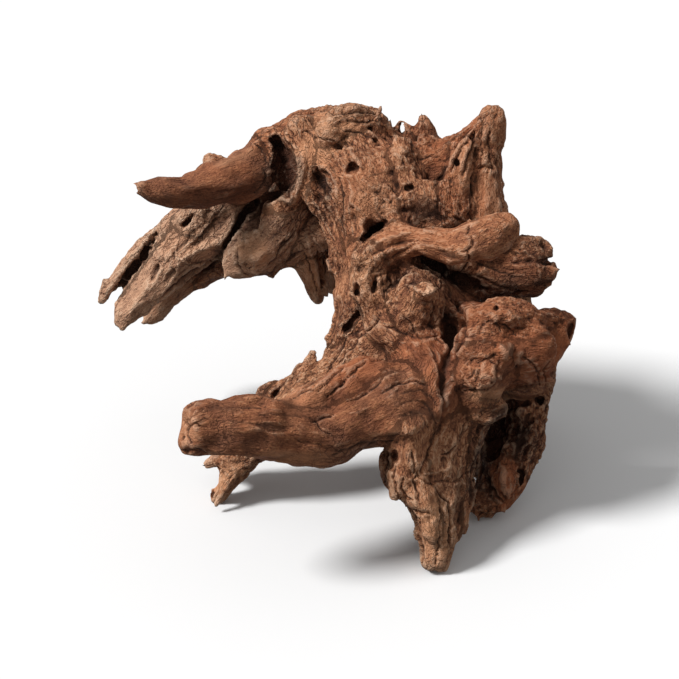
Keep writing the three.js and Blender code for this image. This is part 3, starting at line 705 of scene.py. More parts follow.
# %% Combing
COMB_TEETH = 9  # how strictly a neighbour must lie along the grain
COMB_SEED = 5
# name: how often its dots are spread to all sides first, and how often they are then combed
COMBINGS = {
    "hairs": (0, 14),
    "fibres": (1, 40),
    "furrows": (5, 90),
    "splits": (2, 160),
}


class Comb:
    """Links each point of a net of squares to its eight neighbours, weighted by how they lie to the grain."""

    def __init__(self, thing, points, way):
        corners = np.empty(len(thing.data.loops), np.int32)
        thing.data.loops.foreach_get("vertex_index", corners)
        starts = np.empty(len(thing.data.polygons), np.int32)
        thing.data.polygons.foreach_get("loop_start", starts)
        sizes = np.empty(len(thing.data.polygons), np.int32)
        thing.data.polygons.foreach_get("loop_total", sizes)
        squares = starts[sizes == 4]
        pairs = [(corners[squares + i], corners[squares + j]) for i, j in ((0, 1), (1, 2), (0, 2), (1, 3))]
        a = np.concatenate([p for p, _ in pairs])
        b = np.concatenate([q for _, q in pairs])
        self.count = len(points)
        self.to, self.of = np.concatenate([a, b]), np.concatenate([b, a])
        link = points[self.of] - points[self.to]
        along = (link * way[self.to]).sum(1) ** 2 / ((link ** 2).sum(1) + TINY_SQUARE)
        self.pull = np.exp(COMB_TEETH * (along - 1))
        self.sum = np.bincount(self.to, self.pull, self.count) + TINY

    def streaks(self, values, steps):
        """Combed values, with a mean of 0 and a spread of 1."""
        for _ in range(steps):
            drawn = np.bincount(self.to, self.pull * values[self.of], self.count) / self.sum
            values = (values + drawn) / 2
        return (values - values.mean()) / values.std()


dice = np.random.default_rng(COMB_SEED)
comb = Comb(wood, points, grain_way)
dots = dice.standard_normal((len(COMBINGS), len(points)))
hairs, fibres, furrows, splits = [
    comb.streaks(net.spread(row, spreads), combings)
    for row, (spreads, combings) in zip(dots, COMBINGS.values())
]
print("hairs, fibres, furrows and splits combed over", len(points), "points")

# %% [markdown]
# Rot and insects leave pits, ridges, grit and short cracks. Noise from mathutils gives all of them. What
# lies along the fibres is asked at each point's place in the straightened limb and squeezed along the limb,
# so that it comes out longer than wide. Gnarls and grit have no direction and are asked in plain space.

# %% Rot
PIT_SIZE, PIT_STRETCH = 4.2 * MM, 2.1
GNARL_SIZE = 9 * MM
RIDGE_SIZE, RIDGE_STRETCH = 2.6 * MM, 2.0
MASK_SIZE = 26 * MM
DAPPLE_SIZE = 9 * MM
GRIT_SIZE = 3.4 * MM
FISSURE_SIZE, FISSURE_STRETCH = 6 * MM, 2.4
PIT_EDGE, PIT_VARIES, SMALLEST_PIT = 0.42, 0.3, 0.3  # in cells of the pits' own pattern
APART = 3.7  # takes a pit's size from another part of the noise than its place


def ask(function, places, size, stretch=1.0):
    """Asks a noise function at places, with sizes in metres, longer by the stretch along the third axis."""
    scaled = places / size / np.array([1, 1, stretch])
    return np.array([function(Vector(row)) for row in scaled])


def pit_at(place_in_cells):
    """How far inside the nearest pit a place is: 1 at its middle, 0 at its edge and beyond."""
    distances, middles = noise.voronoi(place_in_cells)
    size = PIT_EDGE + PIT_VARIES * noise.noise(middles[0] * APART)
    return max(0.0, 1 - distances[0] / size) if size > SMALLEST_PIT else 0.0


def gnarl_at(place_in_cells):
    """Sharp ridges with rounded hollows between them, in three sizes."""
    roughness, finer, sizes, offset, gain = 1.0, 2.1, 3, 1.0, 2.0
    return noise.ridged_multi_fractal(place_in_cells, roughness, finer, sizes, offset, gain)


pits = ask(pit_at, straight, PIT_SIZE, PIT_STRETCH)
gnarl = ask(gnarl_at, points, GNARL_SIZE)
ridge_wave = ask(noise.noise, straight, RIDGE_SIZE, RIDGE_STRETCH)
mask = ask(noise.noise, points, MASK_SIZE)
# one and two metres away the noise is different, so these two don't repeat the mask
dapple = ask(noise.noise, points + 1, DAPPLE_SIZE)
grit = ask(noise.noise, points + 2, GRIT_SIZE)
fissures = ask(noise.noise, straight, FISSURE_SIZE, FISSURE_STRETCH)
gnarl = (gnarl - gnarl.mean()) / gnarl.std()
print("share of the skin that is pitted:", round(float((pits > 0).mean()), 2))

# %% [markdown]
# Some cracks, ridges and swellings can be told apart in the picture, and each is drawn: a line of places
# in the picture, with a width and a height in mm, which is below 0 for a crack or a hollow. They are
# listed limb by limb, so that a crack can be found and changed.

# %% Where the cracks and ridges are
# name: width in mm, height in mm, and its line of x, y in pixels
STROKES = {
    "arm end high": (8, -2, [(183, 407), (195, 400)]),
    "arm end low": (8, -2.5, [(181, 451), (206, 454)]),
    "leg left edge": (10, -3.5, [(413, 512), (417, 540), (421, 566)]),
    "neck edge": (14, -3.5, [(338, 298), (331, 322), (326, 347)]),
    "recess bowl": (14, -5, [(447, 314), (450, 328), (451, 346)]),
    "bent branch crack top": (1.7, -1.8, [(469, 226), (468, 231), (465, 234)]),
    "bent branch crack": (2, -2.2, [(470, 235), (473, 244), (468, 250), (469, 260), (466, 266),
        (460, 273)]),
    "bent branch crack side": (1.5, -1.5, [(468, 250), (460, 252)]),
    "bent branch edge": (6, 1, [(424, 230), (440, 234), (458, 231), (478, 222), (498, 214)]),
    "branch root groove": (5, -1.8, [(362, 262), (372, 254), (386, 247), (402, 243), (419, 240)]),
    "branch root groove low": (4, -1.6, [(372, 272), (384, 262), (398, 254), (410, 247), (419, 243)]),
    "branch root ridge": (6, 1.6, [(364, 254), (378, 243), (392, 237), (410, 233)]),
    "lump arc": (1.8, -1.8, [(479, 334), (482, 325), (491, 321), (499, 326), (500, 333)]),
    "lump arc right": (1.7, -1.7, [(499, 324), (508, 328), (517, 336)]),
    "lump side crack": (1.7, -1.5, [(462, 329), (467, 337), (478, 335)]),
    "lump top crack": (1.7, -1.5, [(462, 309), (468, 306), (478, 306)]),
    "over the knot": (1.7, -1.5, [(477, 363), (486, 358), (498, 354)]),
    "knot rim left": (5, 0.7, [(462, 378), (460, 368), (464, 358), (476, 352)]),
    "knot rim low": (5, 0.8, [(462, 384), (474, 386), (488, 382), (502, 377)]),
    "knot lip groove": (2.2, -2, [(462, 392), (474, 390), (486, 389), (497, 384)]),
    "knot eye": (2.2, -1.8, [(470, 378), (474, 371), (479, 370), (479, 376)]),
    "knot eye ridge": (2.6, 1.4, [(473, 381), (475, 374), (480, 367)]),
    "lump right crack": (1.7, -1.7, [(522, 354), (531, 362), (537, 372), (540, 386)]),
    "lump edge crack": (1.8, -1.8, [(549, 361), (544, 371), (546, 383)]),
    "crown crack": (1.7, -1.8, [(302, 132), (308, 131), (314, 137), (321, 140), (334, 140)]),
    "crown groove": (2.2, -1.2, [(328, 113), (342, 114), (356, 112), (372, 113)]),
    "crown groove mid": (2.2, -1.2, [(345, 120), (356, 122), (368, 122), (380, 119)]),
    "crown groove low": (2.2, -1.2, [(346, 131), (358, 132), (370, 136), (376, 142)]),
    "crown ridge": (5, 1.4, [(322, 108), (340, 109), (356, 108), (374, 106)]),
    "cave rim": (5, 1.6, [(268, 136), (284, 139), (294, 150), (299, 163), (294, 182), (286, 196)]),
    "pocket rim": (4, 1.4, [(312, 166), (326, 166), (335, 180), (338, 198)]),
    "splinter edge": (3, 2, [(317, 204), (322, 215), (329, 229), (335, 240)]),
    "cheek line": (2.2, -1.2, [(340, 178), (343, 200), (341, 222), (345, 240)]),
    "cheek ridge": (5, 1.2, [(348, 180), (352, 192), (350, 212), (354, 236)]),
    "neck crack": (1.8, -2, [(383, 301), (385, 291), (392, 285), (399, 279), (409, 271)]),
    "neck crack side": (1.5, -1.5, [(385, 291), (390, 291), (395, 284)]),
    "thorn ridge": (5, 2, [(404, 284), (416, 288), (426, 294), (436, 288)]),
    "thorn lump crack": (1.8, -1.5, [(404, 316), (412, 326), (416, 334), (424, 340)]),
    "thorn lump groove": (4, -1.6, [(432, 298), (434, 312), (430, 324), (436, 334)]),
    "fold under it": (4, -1.9, [(384, 326), (398, 330), (414, 338), (428, 336), (438, 334)]),
    "fold ridge": (5, 1.4, [(400, 342), (416, 345), (430, 340), (440, 336)]),
    "near fold groove": (5, -1.9, [(432, 350), (440, 364), (443, 380), (445, 398)]),
    "arm root long crack": (1.8, -2, [(344, 402), (358, 398), (370, 391), (381, 381), (388, 370)]),
    "arm root crack": (1.8, -1.8, [(381, 394), (390, 388), (402, 383), (416, 381), (428, 386)]),
    "arm root sweep": (2.4, -0.6, [(392, 398), (406, 392), (420, 390), (431, 396), (438, 408)]),
    "arm root sweep mid": (2.4, -0.6, [(398, 406), (412, 400), (424, 402), (432, 412), (436, 424)]),
    "arm root sweep low": (2.4, -0.5, [(396, 418), (410, 412), (422, 416), (428, 428)]),
    "arm root ridge": (6, 0.8, [(350, 414), (368, 408), (384, 400), (398, 388)]),
    "arm notch": (2, -2, [(311, 421), (318, 421), (326, 416), (335, 414)]),
    "arm notch low": (1.8, -1.2, [(317, 422), (322, 430), (332, 436)]),
    "arm top line": (1.4, -0.5, [(202, 412), (214, 409), (240, 408), (266, 407)]),
    "arm top line mid": (1.4, -0.4, [(255, 414), (285, 414), (312, 418)]),
    "arm line": (1.4, -0.4, [(214, 420), (244, 423), (280, 423), (310, 430)]),
    "arm low line": (1.6, -0.7, [(344, 452), (360, 444), (378, 438), (396, 436), (408, 430)]),
    "arm low line under": (1.6, -0.9, [(330, 456), (350, 448), (372, 442), (392, 441), (405, 447)]),
    "arm belly": (5, -1, [(296, 440), (314, 444), (334, 450), (344, 446)]),
    "arm end line": (1.6, -0.9, [(184, 424), (192, 416), (204, 409)]),
    "arm end line low": (1.6, -0.8, [(186, 430), (196, 422), (208, 418)]),
    "leg groove": (5, -2.7, [(445, 398), (445, 412), (442, 426), (434, 440), (430, 454), (424, 468),
        (419, 477)]),
    "leg groove right": (2, -1.5, [(466, 423), (463, 433), (460, 440)]),
    "leg step": (3.2, -1.2, [(421, 478), (430, 484), (441, 480), (452, 484), (462, 477), (467, 471)]),
    "leg step ridge": (5, 1.6, [(424, 474), (436, 473), (448, 468), (452, 460)]),
    "leg pit crack": (1.8, -1.5, [(440, 456), (449, 453), (456, 446)]),
    "leg crack": (2.2, -2.4, [(436, 487), (442, 497), (449, 502), (450, 516), (450, 532), (451, 553)]),
    "leg crack left": (2, -2, [(440, 500), (441, 516), (440, 536), (437, 550), (435, 566)]),
    "leg crack start": (2, -1.8, [(440, 506), (443, 512), (446, 524)]),
    "lobe crack": (2, -1.8, [(396, 466), (393, 478), (396, 490), (402, 504)]),
    "lobe crack mid": (1.8, -1.7, [(404, 478), (401, 488), (407, 498), (414, 500)]),
    "lobe crack right": (1.8, -1.7, [(418, 470), (414, 482), (418, 492), (420, 502)]),
    "lobe line": (1.8, -1.5, [(389, 452), (386, 466), (384, 480), (386, 490)]),
    "lobe ledge": (3.6, -1.9, [(396, 506), (408, 509), (418, 513), (430, 514)]),
    "lobe curl": (1.8, -1.5, [(412, 452), (414, 464), (413, 474)]),
    "leg shade": (7, -1.3, [(462, 484), (460, 500), (459, 516), (457, 532)]),
    "behind the leg": (5, -2.4, [(474, 462), (472, 480), (473, 496), (470, 508)]),
    "tongue left": (2.2, -2.2, [(488, 474), (491, 486), (497, 497), (503, 502)]),
    "tongue ridge": (6, 2, [(504, 470), (503, 482), (505, 494)]),
    "flange crack": (1.8, -2, [(382, 311), (377, 321), (370, 330), (360, 335), (354, 345), (345, 355),
        (339, 362)]),
    "flange crack low": (1.8, -2, [(366, 361), (358, 368), (351, 374), (344, 382), (337, 388), (328, 396)]),
    "flange crack left": (1.8, -1.8, [(291, 399), (298, 394), (305, 390), (314, 390)]),
    "flange crack fan": (1.8, -1.5, [(345, 366), (336, 374), (326, 384), (318, 392)]),
    "flange crack high": (1.8, -1.5, [(346, 338), (342, 348), (334, 360), (326, 372)]),
    "flange ridge": (6, 1.4, [(352, 350), (340, 366), (326, 380), (312, 390)]),
    "flange tooth crack": (1.8, -1.8, [(283, 384), (277, 391), (272, 399)]),
    "jaw crease": (1.7, -1.4, [(225, 204), (214, 218), (205, 230), (196, 244)]),
    "jaw crease left": (1.7, -1.2, [(196, 228), (188, 238), (182, 250)]),
    "jaw facet": (2.2, -1, [(181, 256), (192, 263), (206, 262), (218, 256)]),
    "jaw fold": (6, -3.6, [(160, 300), (176, 286), (192, 274), (210, 264), (222, 258)]),
    "strut facet": (2.2, -1, [(238, 250), (236, 260), (240, 270), (248, 276)]),
    "strut top": (5, 1.2, [(232, 240), (240, 232), (252, 230), (264, 234)]),
    "web seam": (2.2, -1.5, [(266, 268), (276, 258), (281, 246), (290, 238)]),
    "spike line": (1.8, -1.2, [(300, 240), (306, 256), (312, 274), (318, 292)]),
    "spike ridge": (3, 1.6, [(306, 236), (311, 252), (317, 272), (320, 290)]),
    "plate ridge": (2.4, 1.4, [(311, 234), (321, 246), (329, 262), (332, 280)]),
    "horn groove": (3.4, -2.4, [(452, 150), (458, 142), (464, 134), (471, 127)]),
    "horn groove mid": (2.2, -2, [(452, 172), (456, 158), (462, 148), (468, 140)]),
    "horn groove right": (2.2, -2, [(464, 172), (468, 158), (473, 142), (475, 130)]),
    "horn ridge": (4, 1.6, [(448, 172), (452, 160), (460, 146), (470, 134)]),
    "horn ridge right": (4, 1.6, [(460, 174), (464, 160), (470, 146), (476, 128)]),
    "horn face line": (1.8, -1.2, [(482, 128), (480, 142), (482, 156), (480, 168)]),
    "horn face line right": (1.8, -1.2, [(490, 130), (489, 144), (490, 158), (492, 166)]),
    "horn step": (3.4, -1.9, [(479, 169), (486, 167), (496, 168)]),
    "horn tip crack": (1.8, -1.4, [(476, 119), (483, 118), (488, 114)]),
    "ramp line": (1.8, -1.2, [(420, 160), (430, 156), (440, 158)]),
    "ramp line low": (1.8, -1.2, [(432, 190), (440, 178), (446, 166)]),
    "valley edge": (3, 1.6, [(436, 200), (446, 208), (458, 216), (470, 222)]),
    "fin rust edge": (4, 1, [(520, 250), (532, 256), (538, 266), (540, 280)]),
    "lobe rim": (4, 2, [(500, 414), (490, 419), (482, 428), (478, 444), (472, 462)]),
    "knot swelling": (30, 4.5, [(478, 372), (496, 376)]),
    "lump swelling": (30, 2.5, [(500, 346), (520, 360)]),
    "recess low": (11, -5, [(450, 348), (446, 366), (444, 384), (445, 400)]),
    "beside the lump": (8, -4, [(456, 300), (462, 316), (464, 332), (456, 352)]),
    "under the branch shade": (12, -5, [(424, 262), (444, 272), (466, 282), (486, 290)]),
    "neck left hollow": (14, -3, [(312, 172), (316, 188), (318, 204)]),
    "valley bowl": (22, -4, [(404, 210), (424, 214), (446, 220)]),
    "lump front": (34, 3, [(500, 350), (522, 362), (530, 380)]),
    "knot ring": (4, 0.8, [(463, 368), (470, 358), (482, 354), (495, 360), (501, 372), (497, 384),
        (485, 389)]),
    "knot ring low": (4, 0.8, [(485, 389), (473, 387), (465, 380), (462, 370)]),
    "knot hollow": (7, -1, [(476, 372), (484, 370), (490, 374)]),
    "finger gap": (8, -4, [(154, 238), (142, 258), (130, 272), (117, 290)]),
    "finger crest": (8, 1.6, [(176, 246), (160, 268), (146, 290), (130, 314)]),
    "finger crest outer": (6, 1.4, [(150, 236), (132, 256), (116, 276), (106, 294)]),
    "strut lobe": (16, 2, [(246, 240), (256, 252), (254, 266)]),
    "recess deep": (6, -4, [(448, 322), (451, 334), (451, 348)]),
    "spike gap": (5, -4, [(318, 252), (322, 268), (323, 288)]),
    "fin line": (1.8, -1, [(468, 258), (490, 268), (512, 276), (534, 279)]),
    "fin line low": (2.4, -1.4, [(474, 274), (498, 286), (522, 292)]),
    "fin and stub": (6, -2.2, [(512, 262), (530, 261), (550, 264)]),
    "neck pocket": (10, -5, [(317, 168), (320, 180), (329, 196)]),
    "neck pocket high": (6, -3, [(322, 170), (330, 178), (334, 190)]),
    "tongue body": (14, 3.5, [(500, 464), (506, 480), (508, 496)]),
    "tongue right": (6, -3, [(519, 468), (520, 482), (516, 498)]),
    "arm ring": (2.2, -1, [(252, 141), (263, 150), (268, 166), (264, 182), (254, 194)]),
    "arm ring right": (2, -0.9, [(262, 141), (273, 152), (277, 168), (273, 184), (264, 194)]),
    "cave lip": (7, 2, [(292, 142), (300, 152), (303, 166), (299, 184), (290, 200)]),
    "lens hollow": (8, -2.2, [(164, 258), (156, 271), (150, 286)]),
    "lens rim": (3, 1.2, [(172, 252), (171, 266), (162, 282)]),
    "facet edge": (4, 1.8, [(176, 252), (179, 266), (171, 282), (158, 298)]),
    "rough patch edge": (3, 1.6, [(178, 258), (186, 246), (200, 234), (214, 218)]),
    "rough patch end": (3, 1.6, [(178, 258), (190, 263), (202, 266), (214, 258)]),
    "crown edge": (5, 2, [(338, 143), (350, 150), (363, 168)]),
    "knot ring crack": (1.6, -1.1, [(466, 366), (474, 359), (486, 358), (495, 366), (494, 378),
        (484, 384)]),
    "arm end crack": (1.8, -1.6, [(183, 419), (189, 426), (187, 434), (191, 443)]),
    "arm end crack high": (1.8, -1.4, [(189, 426), (197, 424), (203, 428)]),
}
print(len(STROKES), "cracks and ridges listed")

# %% [markdown]
# Light and shade are also painted into the colour: painted shade in caves, under and behind parts and on
# sides turned from the lamp, and painted light on faces that should look brighter. A few are real stains,
# such as the rot on the cheek. They are drawn in the same way, but they only colour the wood.

# %% Where the painted light and shade are
# name: width in mm, how much painted shade from 0 to 1, or how much painted light where it is below 0, and
# its line
PAINTED_LIGHT_AND_SHADE_STROKES = {
    "inside the cave": (40, 1, [(280, 148), (287, 166), (284, 184), (268, 200)]),
    "far arm's end": (40, 0.9, [(280, 150), (282, 172), (274, 194)]),
    "far arm's underside": (12, 0.55, [(165, 205), (200, 204), (235, 198), (262, 192)]),
    "channel": (14, 0.9, [(254, 206), (240, 222), (228, 244), (212, 262)]),
    "under the ledge": (10, 0.6, [(172, 290), (192, 276), (212, 264)]),
    "finger gap": (7, 0.8, [(152, 240), (142, 258), (130, 272), (118, 290)]),
    "neck pocket": (12, 0.92, [(317, 168), (321, 182), (330, 200)]),
    "valley": (30, 0.88, [(406, 211), (424, 211), (444, 219)]),
    "under the bent branch": (18, 0.9, [(420, 262), (444, 272), (466, 284), (490, 288)]),
    "fin": (26, 0.3, [(496, 262), (504, 278), (520, 286)]),
    "recess": (14, 0.9, [(446, 306), (449, 322), (450, 340)]),
    "below the recess": (12, 0.5, [(450, 352), (446, 370), (444, 392), (444, 416)]),
    "lobe cave": (34, 1, [(508, 404), (498, 424), (492, 446), (482, 470)]),
    "lobe face": (34, 0.68, [(520, 412), (521, 436), (514, 456)]),
    "lobe foot": (22, 0.6, [(482, 470), (484, 490), (490, 506)]),
    "behind the leg": (12, 0.95, [(480, 438), (474, 470), (473, 504)]),
    "leg's right half": (16, 0.45, [(460, 470), (459, 500), (457, 530)]),
    "arm's side": (20, 0.25, [(210, 440), (260, 442), (310, 448)]),
    "horn's side": (14, 0.4, [(494, 172), (492, 190), (496, 208)]),
    "lump's front": (30, 0.25, [(520, 350), (526, 372)]),
    "stub gap": (6, 0.45, [(514, 262), (530, 261), (550, 264)]),
    "beside the tongue": (7, 0.9, [(486, 468), (490, 484), (496, 502)]),
    "stub": (24, 0.4, [(518, 246), (546, 248)]),
    "far arm's lower half": (16, 0.5, [(146, 198), (190, 202), (230, 196), (262, 184)]),
    "cheek": (44, -0.85, [(300, 152), (332, 152)]),
    "crown": (48, -0.7, [(308, 128), (356, 130)]),
    "strut's face": (40, -1, [(240, 246), (266, 258)]),
    "leg's tip": (36, -1, [(437, 500), (437, 562)]),
    "prong": (26, -1, [(214, 490), (240, 464)]),
    "neck": (56, -0.4, [(350, 202), (395, 206)]),
    "neck's foot": (46, -0.6, [(360, 258), (374, 300)]),
    "skirt": (18, -0.9, [(468, 397), (510, 394)]),
    "spike": (14, -0.8, [(305, 248), (317, 292)]),
    "horn's face": (24, -0.5, [(462, 140), (466, 192)]),
    "arm's underside": (14, -0.6, [(262, 452), (300, 457), (332, 459)]),
    "far arm's top": (9, -0.4, [(214, 166), (236, 158), (262, 148)]),
    "cheek rot": (10, 0.5, [(348, 200), (358, 207)]),
    "arm's end": (18, -0.5, [(188, 410), (184, 442)]),
    "flange": (40, -0.4, [(280, 396), (330, 390)]),
    "jaw": (44, -0.3, [(160, 244), (212, 246)]),
    "arm's root": (34, 0.24, [(330, 398), (380, 392), (416, 398)]),
    "valley's top": (14, 0.75, [(412, 204), (424, 202), (436, 207)]),
    "knot's eye": (8, -0.5, [(474, 374), (480, 369)]),
    "broken arm end": (8, -0.7, [(190, 430), (196, 438)]),
}
# the table holds painted shade and painted light, and a few real stains
print(len(PAINTED_LIGHT_AND_SHADE_STROKES), "stains and sunned places listed")

# %% [markdown]
# A stroke only changes the skin that the eye sees there, so a ray is sent from the eye to each point near
# the line, to see if it meets other wood first. Every line strays a little, as a real crack does.

# %% Strokes
WOBBLE = 1.2  # mm that a stroke strays from its line
WOBBLE_SIZE = 5 * MM
NARROW = 3  # mm, strokes up to this width count as splits and are dark inside
TAPER = 6  # a stroke is full width from one in this many parts of its length
THINNEST = 0.25  # its width at the ends, as a share
LEAST_HALF = 0.3  # mm added to every half width, so that thin lines aren't lost between points
SHADE_SPREAD = 6
MM_PER_PIXEL = DISTANCE / MM * SENSOR / (PICTURE * LENS)
SEEN_WITHIN = 3 * MM


def step_up(low, high, values):
    """Rises smoothly from 0 at low to 1 at high, or the other way round where high is below low."""
    share = np.clip((values - low) / (high - low), 0, 1)
    return share * share * (3 - 2 * share)


def picture_places(points):
    """Where points are seen in the picture, in pixels."""
    away = points - np.array(eye)
    depth = away @ np.array(forward)
    reach = PICTURE * LENS / SENSOR
    x = PICTURE / 2 + reach * (away @ np.array(picture_right)) / depth
    y = PICTURE / 2 - reach * (away @ np.array(picture_up)) / depth
    return np.stack([x, y], axis=1)


def stroke_share(seen, line, width):
    """1 on a line in the picture, 0 at half its width beside it, and narrower towards its ends."""
    line = np.array(line, float)
    steps = np.linalg.norm(np.diff(line, axis=0), axis=1)
    runs = np.concatenate([[0], np.cumsum(steps)]) / steps.sum()
    best, place_along = np.full(len(seen), np.inf), np.zeros(len(seen))
    for a, b, run_a, run_b in zip(line, line[1:], runs, runs[1:]):
        share = np.clip((seen - a) @ (b - a) / ((b - a) @ (b - a)), 0, 1)
        apart = np.linalg.norm(seen - a - share[:, None] * (b - a), axis=1)
        nearer = apart < best
        best[nearer] = apart[nearer]
        place_along[nearer] = (run_a + share * (run_b - run_a))[nearer]
    taper = np.clip(TAPER * np.minimum(place_along, 1 - place_along), THINNEST, 1)
    return step_up(1, 0, best * MM_PER_PIXEL / (width / 2 * taper + LEAST_HALF))


seen = picture_places(points)
wobbly = [Vector(row) / WOBBLE_SIZE for row in points]
elsewhere = Vector((9, 9, 9))
stray = np.array([[noise.noise(at), noise.noise(at + elsewhere)] for at in wobbly])
seen += stray * WOBBLE / MM_PER_PIXEL
toward = np.array(eye) - points
faces_eye = (normals * toward).sum(1) > 0
search = search_tree(wood)
in_sight = {}


def meets(index):
    """Whether the eye sees a point of the skin, remembered for the next stroke over it."""
    if index not in in_sight:
        way = Vector(points[index]) - eye
        hit = search.ray_cast(eye, way)[0]
        in_sight[index] = hit is not None and (hit - eye).length > way.length - SEEN_WITHIN
    return in_sight[index]


def draw(width, line):
    """The points near a line that the eye sees, and how much of the stroke each gets."""
    low, high = np.min(line, axis=0) - width * 2, np.max(line, axis=0) + width * 2
    close = np.flatnonzero(faces_eye & (seen > low).all(1) & (seen < high).all(1))
    share = stroke_share(seen[close], line, width)
    close, share = close[share > 0], share[share > 0]
    return close, share * np.array([meets(index) for index in close])


stroke_relief, stroke_split, shade = (np.zeros(len(points)) for _ in range(3))
for width, height, line in STROKES.values():
    close, share = draw(width, line)
    stroke_relief[close] += height * share
    if height < 0 and width <= NARROW:
        stroke_split[close] = np.maximum(stroke_split[close], share)
# strokes that only colour: painted shade where the value is above 0, painted light where it is below 0
for width, darkness, line in PAINTED_LIGHT_AND_SHADE_STROKES.values():
    close, share = draw(width, line)
    stronger = np.abs(darkness * share) > np.abs(shade[close])
    shade[close] = np.where(stronger, darkness * share, shade[close])
shade = net.spread(shade, SHADE_SPREAD)
print("points that the strokes cover:", len(in_sight))

# %% [markdown]
# All of these now move the skin in or out, along each point's own outward direction. Sound wood gets fine
# fibres and a few long splits. Rotten wood gets deep furrows, pits, ridges and short fissures. The table
# says how many millimetres each pattern moves sound wood, and how much more it moves rotten wood. At the
# end the skin is held inside the solid's own box, so that it never grows past the size that was packed.

# %% Relief
ROT_VARIES = 1.1  # how much the share of rot changes from place to place
SPLIT_FROM, SPLIT_FULL = 1.3, 2.3  # only the deepest of the combed splits open
FISSURE_EDGE, FISSURE_MIDDLE = 0.17, 0.02
BELOW, ABOVE = -9, 9  # mm, the most that the skin moves

rotten = np.clip(rot * (1 + ROT_VARIES * mask), 0, 1)
open_split = step_up(SPLIT_FROM, SPLIT_FULL, -splits) * step_up(-0.2, 0.25, mask)
split = np.maximum(open_split, stroke_split)
fissure = rotten * step_up(FISSURE_EDGE, FISSURE_MIDDLE, np.abs(fissures)) * step_up(-0.25, 0.1, dapple)
thin_ridges = 1 - 2.5 * np.abs(ridge_wave)
pitted = pits ** 0.7 * step_up(-0.15, 0.2, dapple)
# pattern, mm on sound wood, and mm more on rotten wood
MOVES = [
    (hairs, 0.07, 0),
    (fibres, 0.10, 0.10),
    (np.tanh(furrows), 0.12, 0.28),
    (np.maximum(split - stroke_split, 0), -1.2, 0),
    (gnarl, 0, 0.6),
    (thin_ridges, 0, 0.25),
    (grit, 0, 0.9),
    (pitted, -0.2, -2.6),
    (fissure, -1.1, 0),
    (stroke_relief, 1, 0),
]
relief = sum((sound + more * rotten) * pattern for pattern, sound, more in MOVES)
relief = np.clip(relief, BELOW, ABOVE) * MM
moved = points + relief[:, None] * normals
moved[:, 2] = np.maximum(moved[:, 2], cad_low.z)
box_low, box_high = np.array(cad_low), np.array(cad_high)
moved = np.clip(moved, box_low, box_high)
place(wood, moved)
print("relief in mm from", round(relief.min() / MM, 2), "to", round(relief.max() / MM, 2))

# %% [markdown]
# The colour depends on the shape: sheltered places are made dark, partly as dirt and partly as painted
# shade, and ridges are rubbed pale. So a hollow value compares each point with the mean of its surroundings,
# over short, middle and long ways.
# All values go onto the mesh as attributes, which the material reads by name. They stay with the surface
# whatever the view.

# %% Hollows and attributes
MOST = 2.5  # hollows and streaks are kept between this and its negative
FISSURE_DARK = 0.6  # how much of a fissure counts as a split

points, normals = places_of(wood), normals_of(wood)


def hollow_over(steps):
    """Positive in hollows and negative on ridges, in spreads of the whole skin."""
    depth = ((net.spread(points, steps) - points) * normals).sum(1)
    return depth / depth.std()


def attribute(name, values):
    """Keeps one number, or one place, for each point of the wood."""
    kind, field = ("FLOAT", "value") if values.ndim == 1 else ("FLOAT_VECTOR", "vector")
    layer = wood.data.attributes.new(name, kind, "POINT")
    layer.data.foreach_set(field, values.astype(np.float32).ravel())


attribute("grain", straight)
attribute("rotten", rotten)
attribute("pale", np.clip(pale, -1, 1))
attribute("red", np.clip(red, 0, 1))
hollow = 0.4 * hollow_over(1) + 0.4 * hollow_over(4) + 0.5 * hollow_over(14)
attribute("hollow", np.clip(hollow, -MOST, MOST))
attribute("broad", np.clip(hollow_over(50), -MOST, MOST))
attribute("streak", np.clip(0.45 * hairs + 0.6 * fibres + 0.5 * furrows, -MOST, MOST))
attribute("split", np.maximum(split, FISSURE_DARK * fissure))
# painted shade where above 0, painted light where below 0
attribute("shade", shade)
print("attributes:", ", ".join(layer.name for layer in wood.data.attributes))

# %% [markdown]
# The even net has far more squares than a model needs. Decimate folds up the edges that matter least, so
# that flat wood keeps few faces and the pits and splits keep many. Attributes are carried along.

# %% Thin the net
MOST_TRIANGLES = 198000


def triangles_of(thing):
    """How many triangles an object's faces make."""
    return sum(len(p.vertices) - 2 for p in thing.data.polygons)


fewer = wood.modifiers.new("fewer", "DECIMATE")
fewer.ratio = MOST_TRIANGLES / triangles_of(wood)
apply_modifiers(wood)
wood.data.polygons.foreach_set("use_smooth", [True] * len(wood.data.polygons))
print("triangles:", triangles_of(wood))

# %% [markdown]
# One more value is measured on the thinned skin: how open each point is. A few short rays leave it in
# even directions, and the share that meets no wood is its openness. Deep caves come out near 0, and the
# material makes them dark with it: partly dirt, partly painted shade.

# %% Openness
RAYS = 14
RAY_LENGTH = 45 * MM
RAY_LIFT = 0.6 * MM
OPEN_SPREAD = 2
GOLDEN_TURN = math.pi * (3 - math.sqrt(5))

search = search_tree(wood)
ways = []
for k in range(RAYS):
    height = 1 - (k + 0.5) / RAYS
    ring = math.sqrt(1 - height * height)
    ways.append(Vector((ring * math.cos(GOLDEN_TURN * k), ring * math.sin(GOLDEN_TURN * k), height)))
points, normals = places_of(wood), normals_of(wood)
clear = np.zeros(len(points))
for index, (point, normal) in enumerate(zip(points, normals)):
    up = Vector(normal)
    lean = up.to_track_quat("Z", "Y")
    start = Vector(point) + up * RAY_LIFT
    clear[index] = sum(search.ray_cast(start, lean @ way, RAY_LENGTH)[0] is None for way in ways)
attribute("open", Net(wood).spread(clear / RAYS, OPEN_SPREAD))
print("mean openness:", round(float(clear.mean() / RAYS), 2))

# %% [markdown]
# Shader maths reads better as sums than as boxes and wires. This small class wraps a socket, so that
# Python's own signs add the Math nodes. Every other node comes from one function, which takes the kind of
# the node, its settings, and the value or the wire of each input.

# %% Shader helper


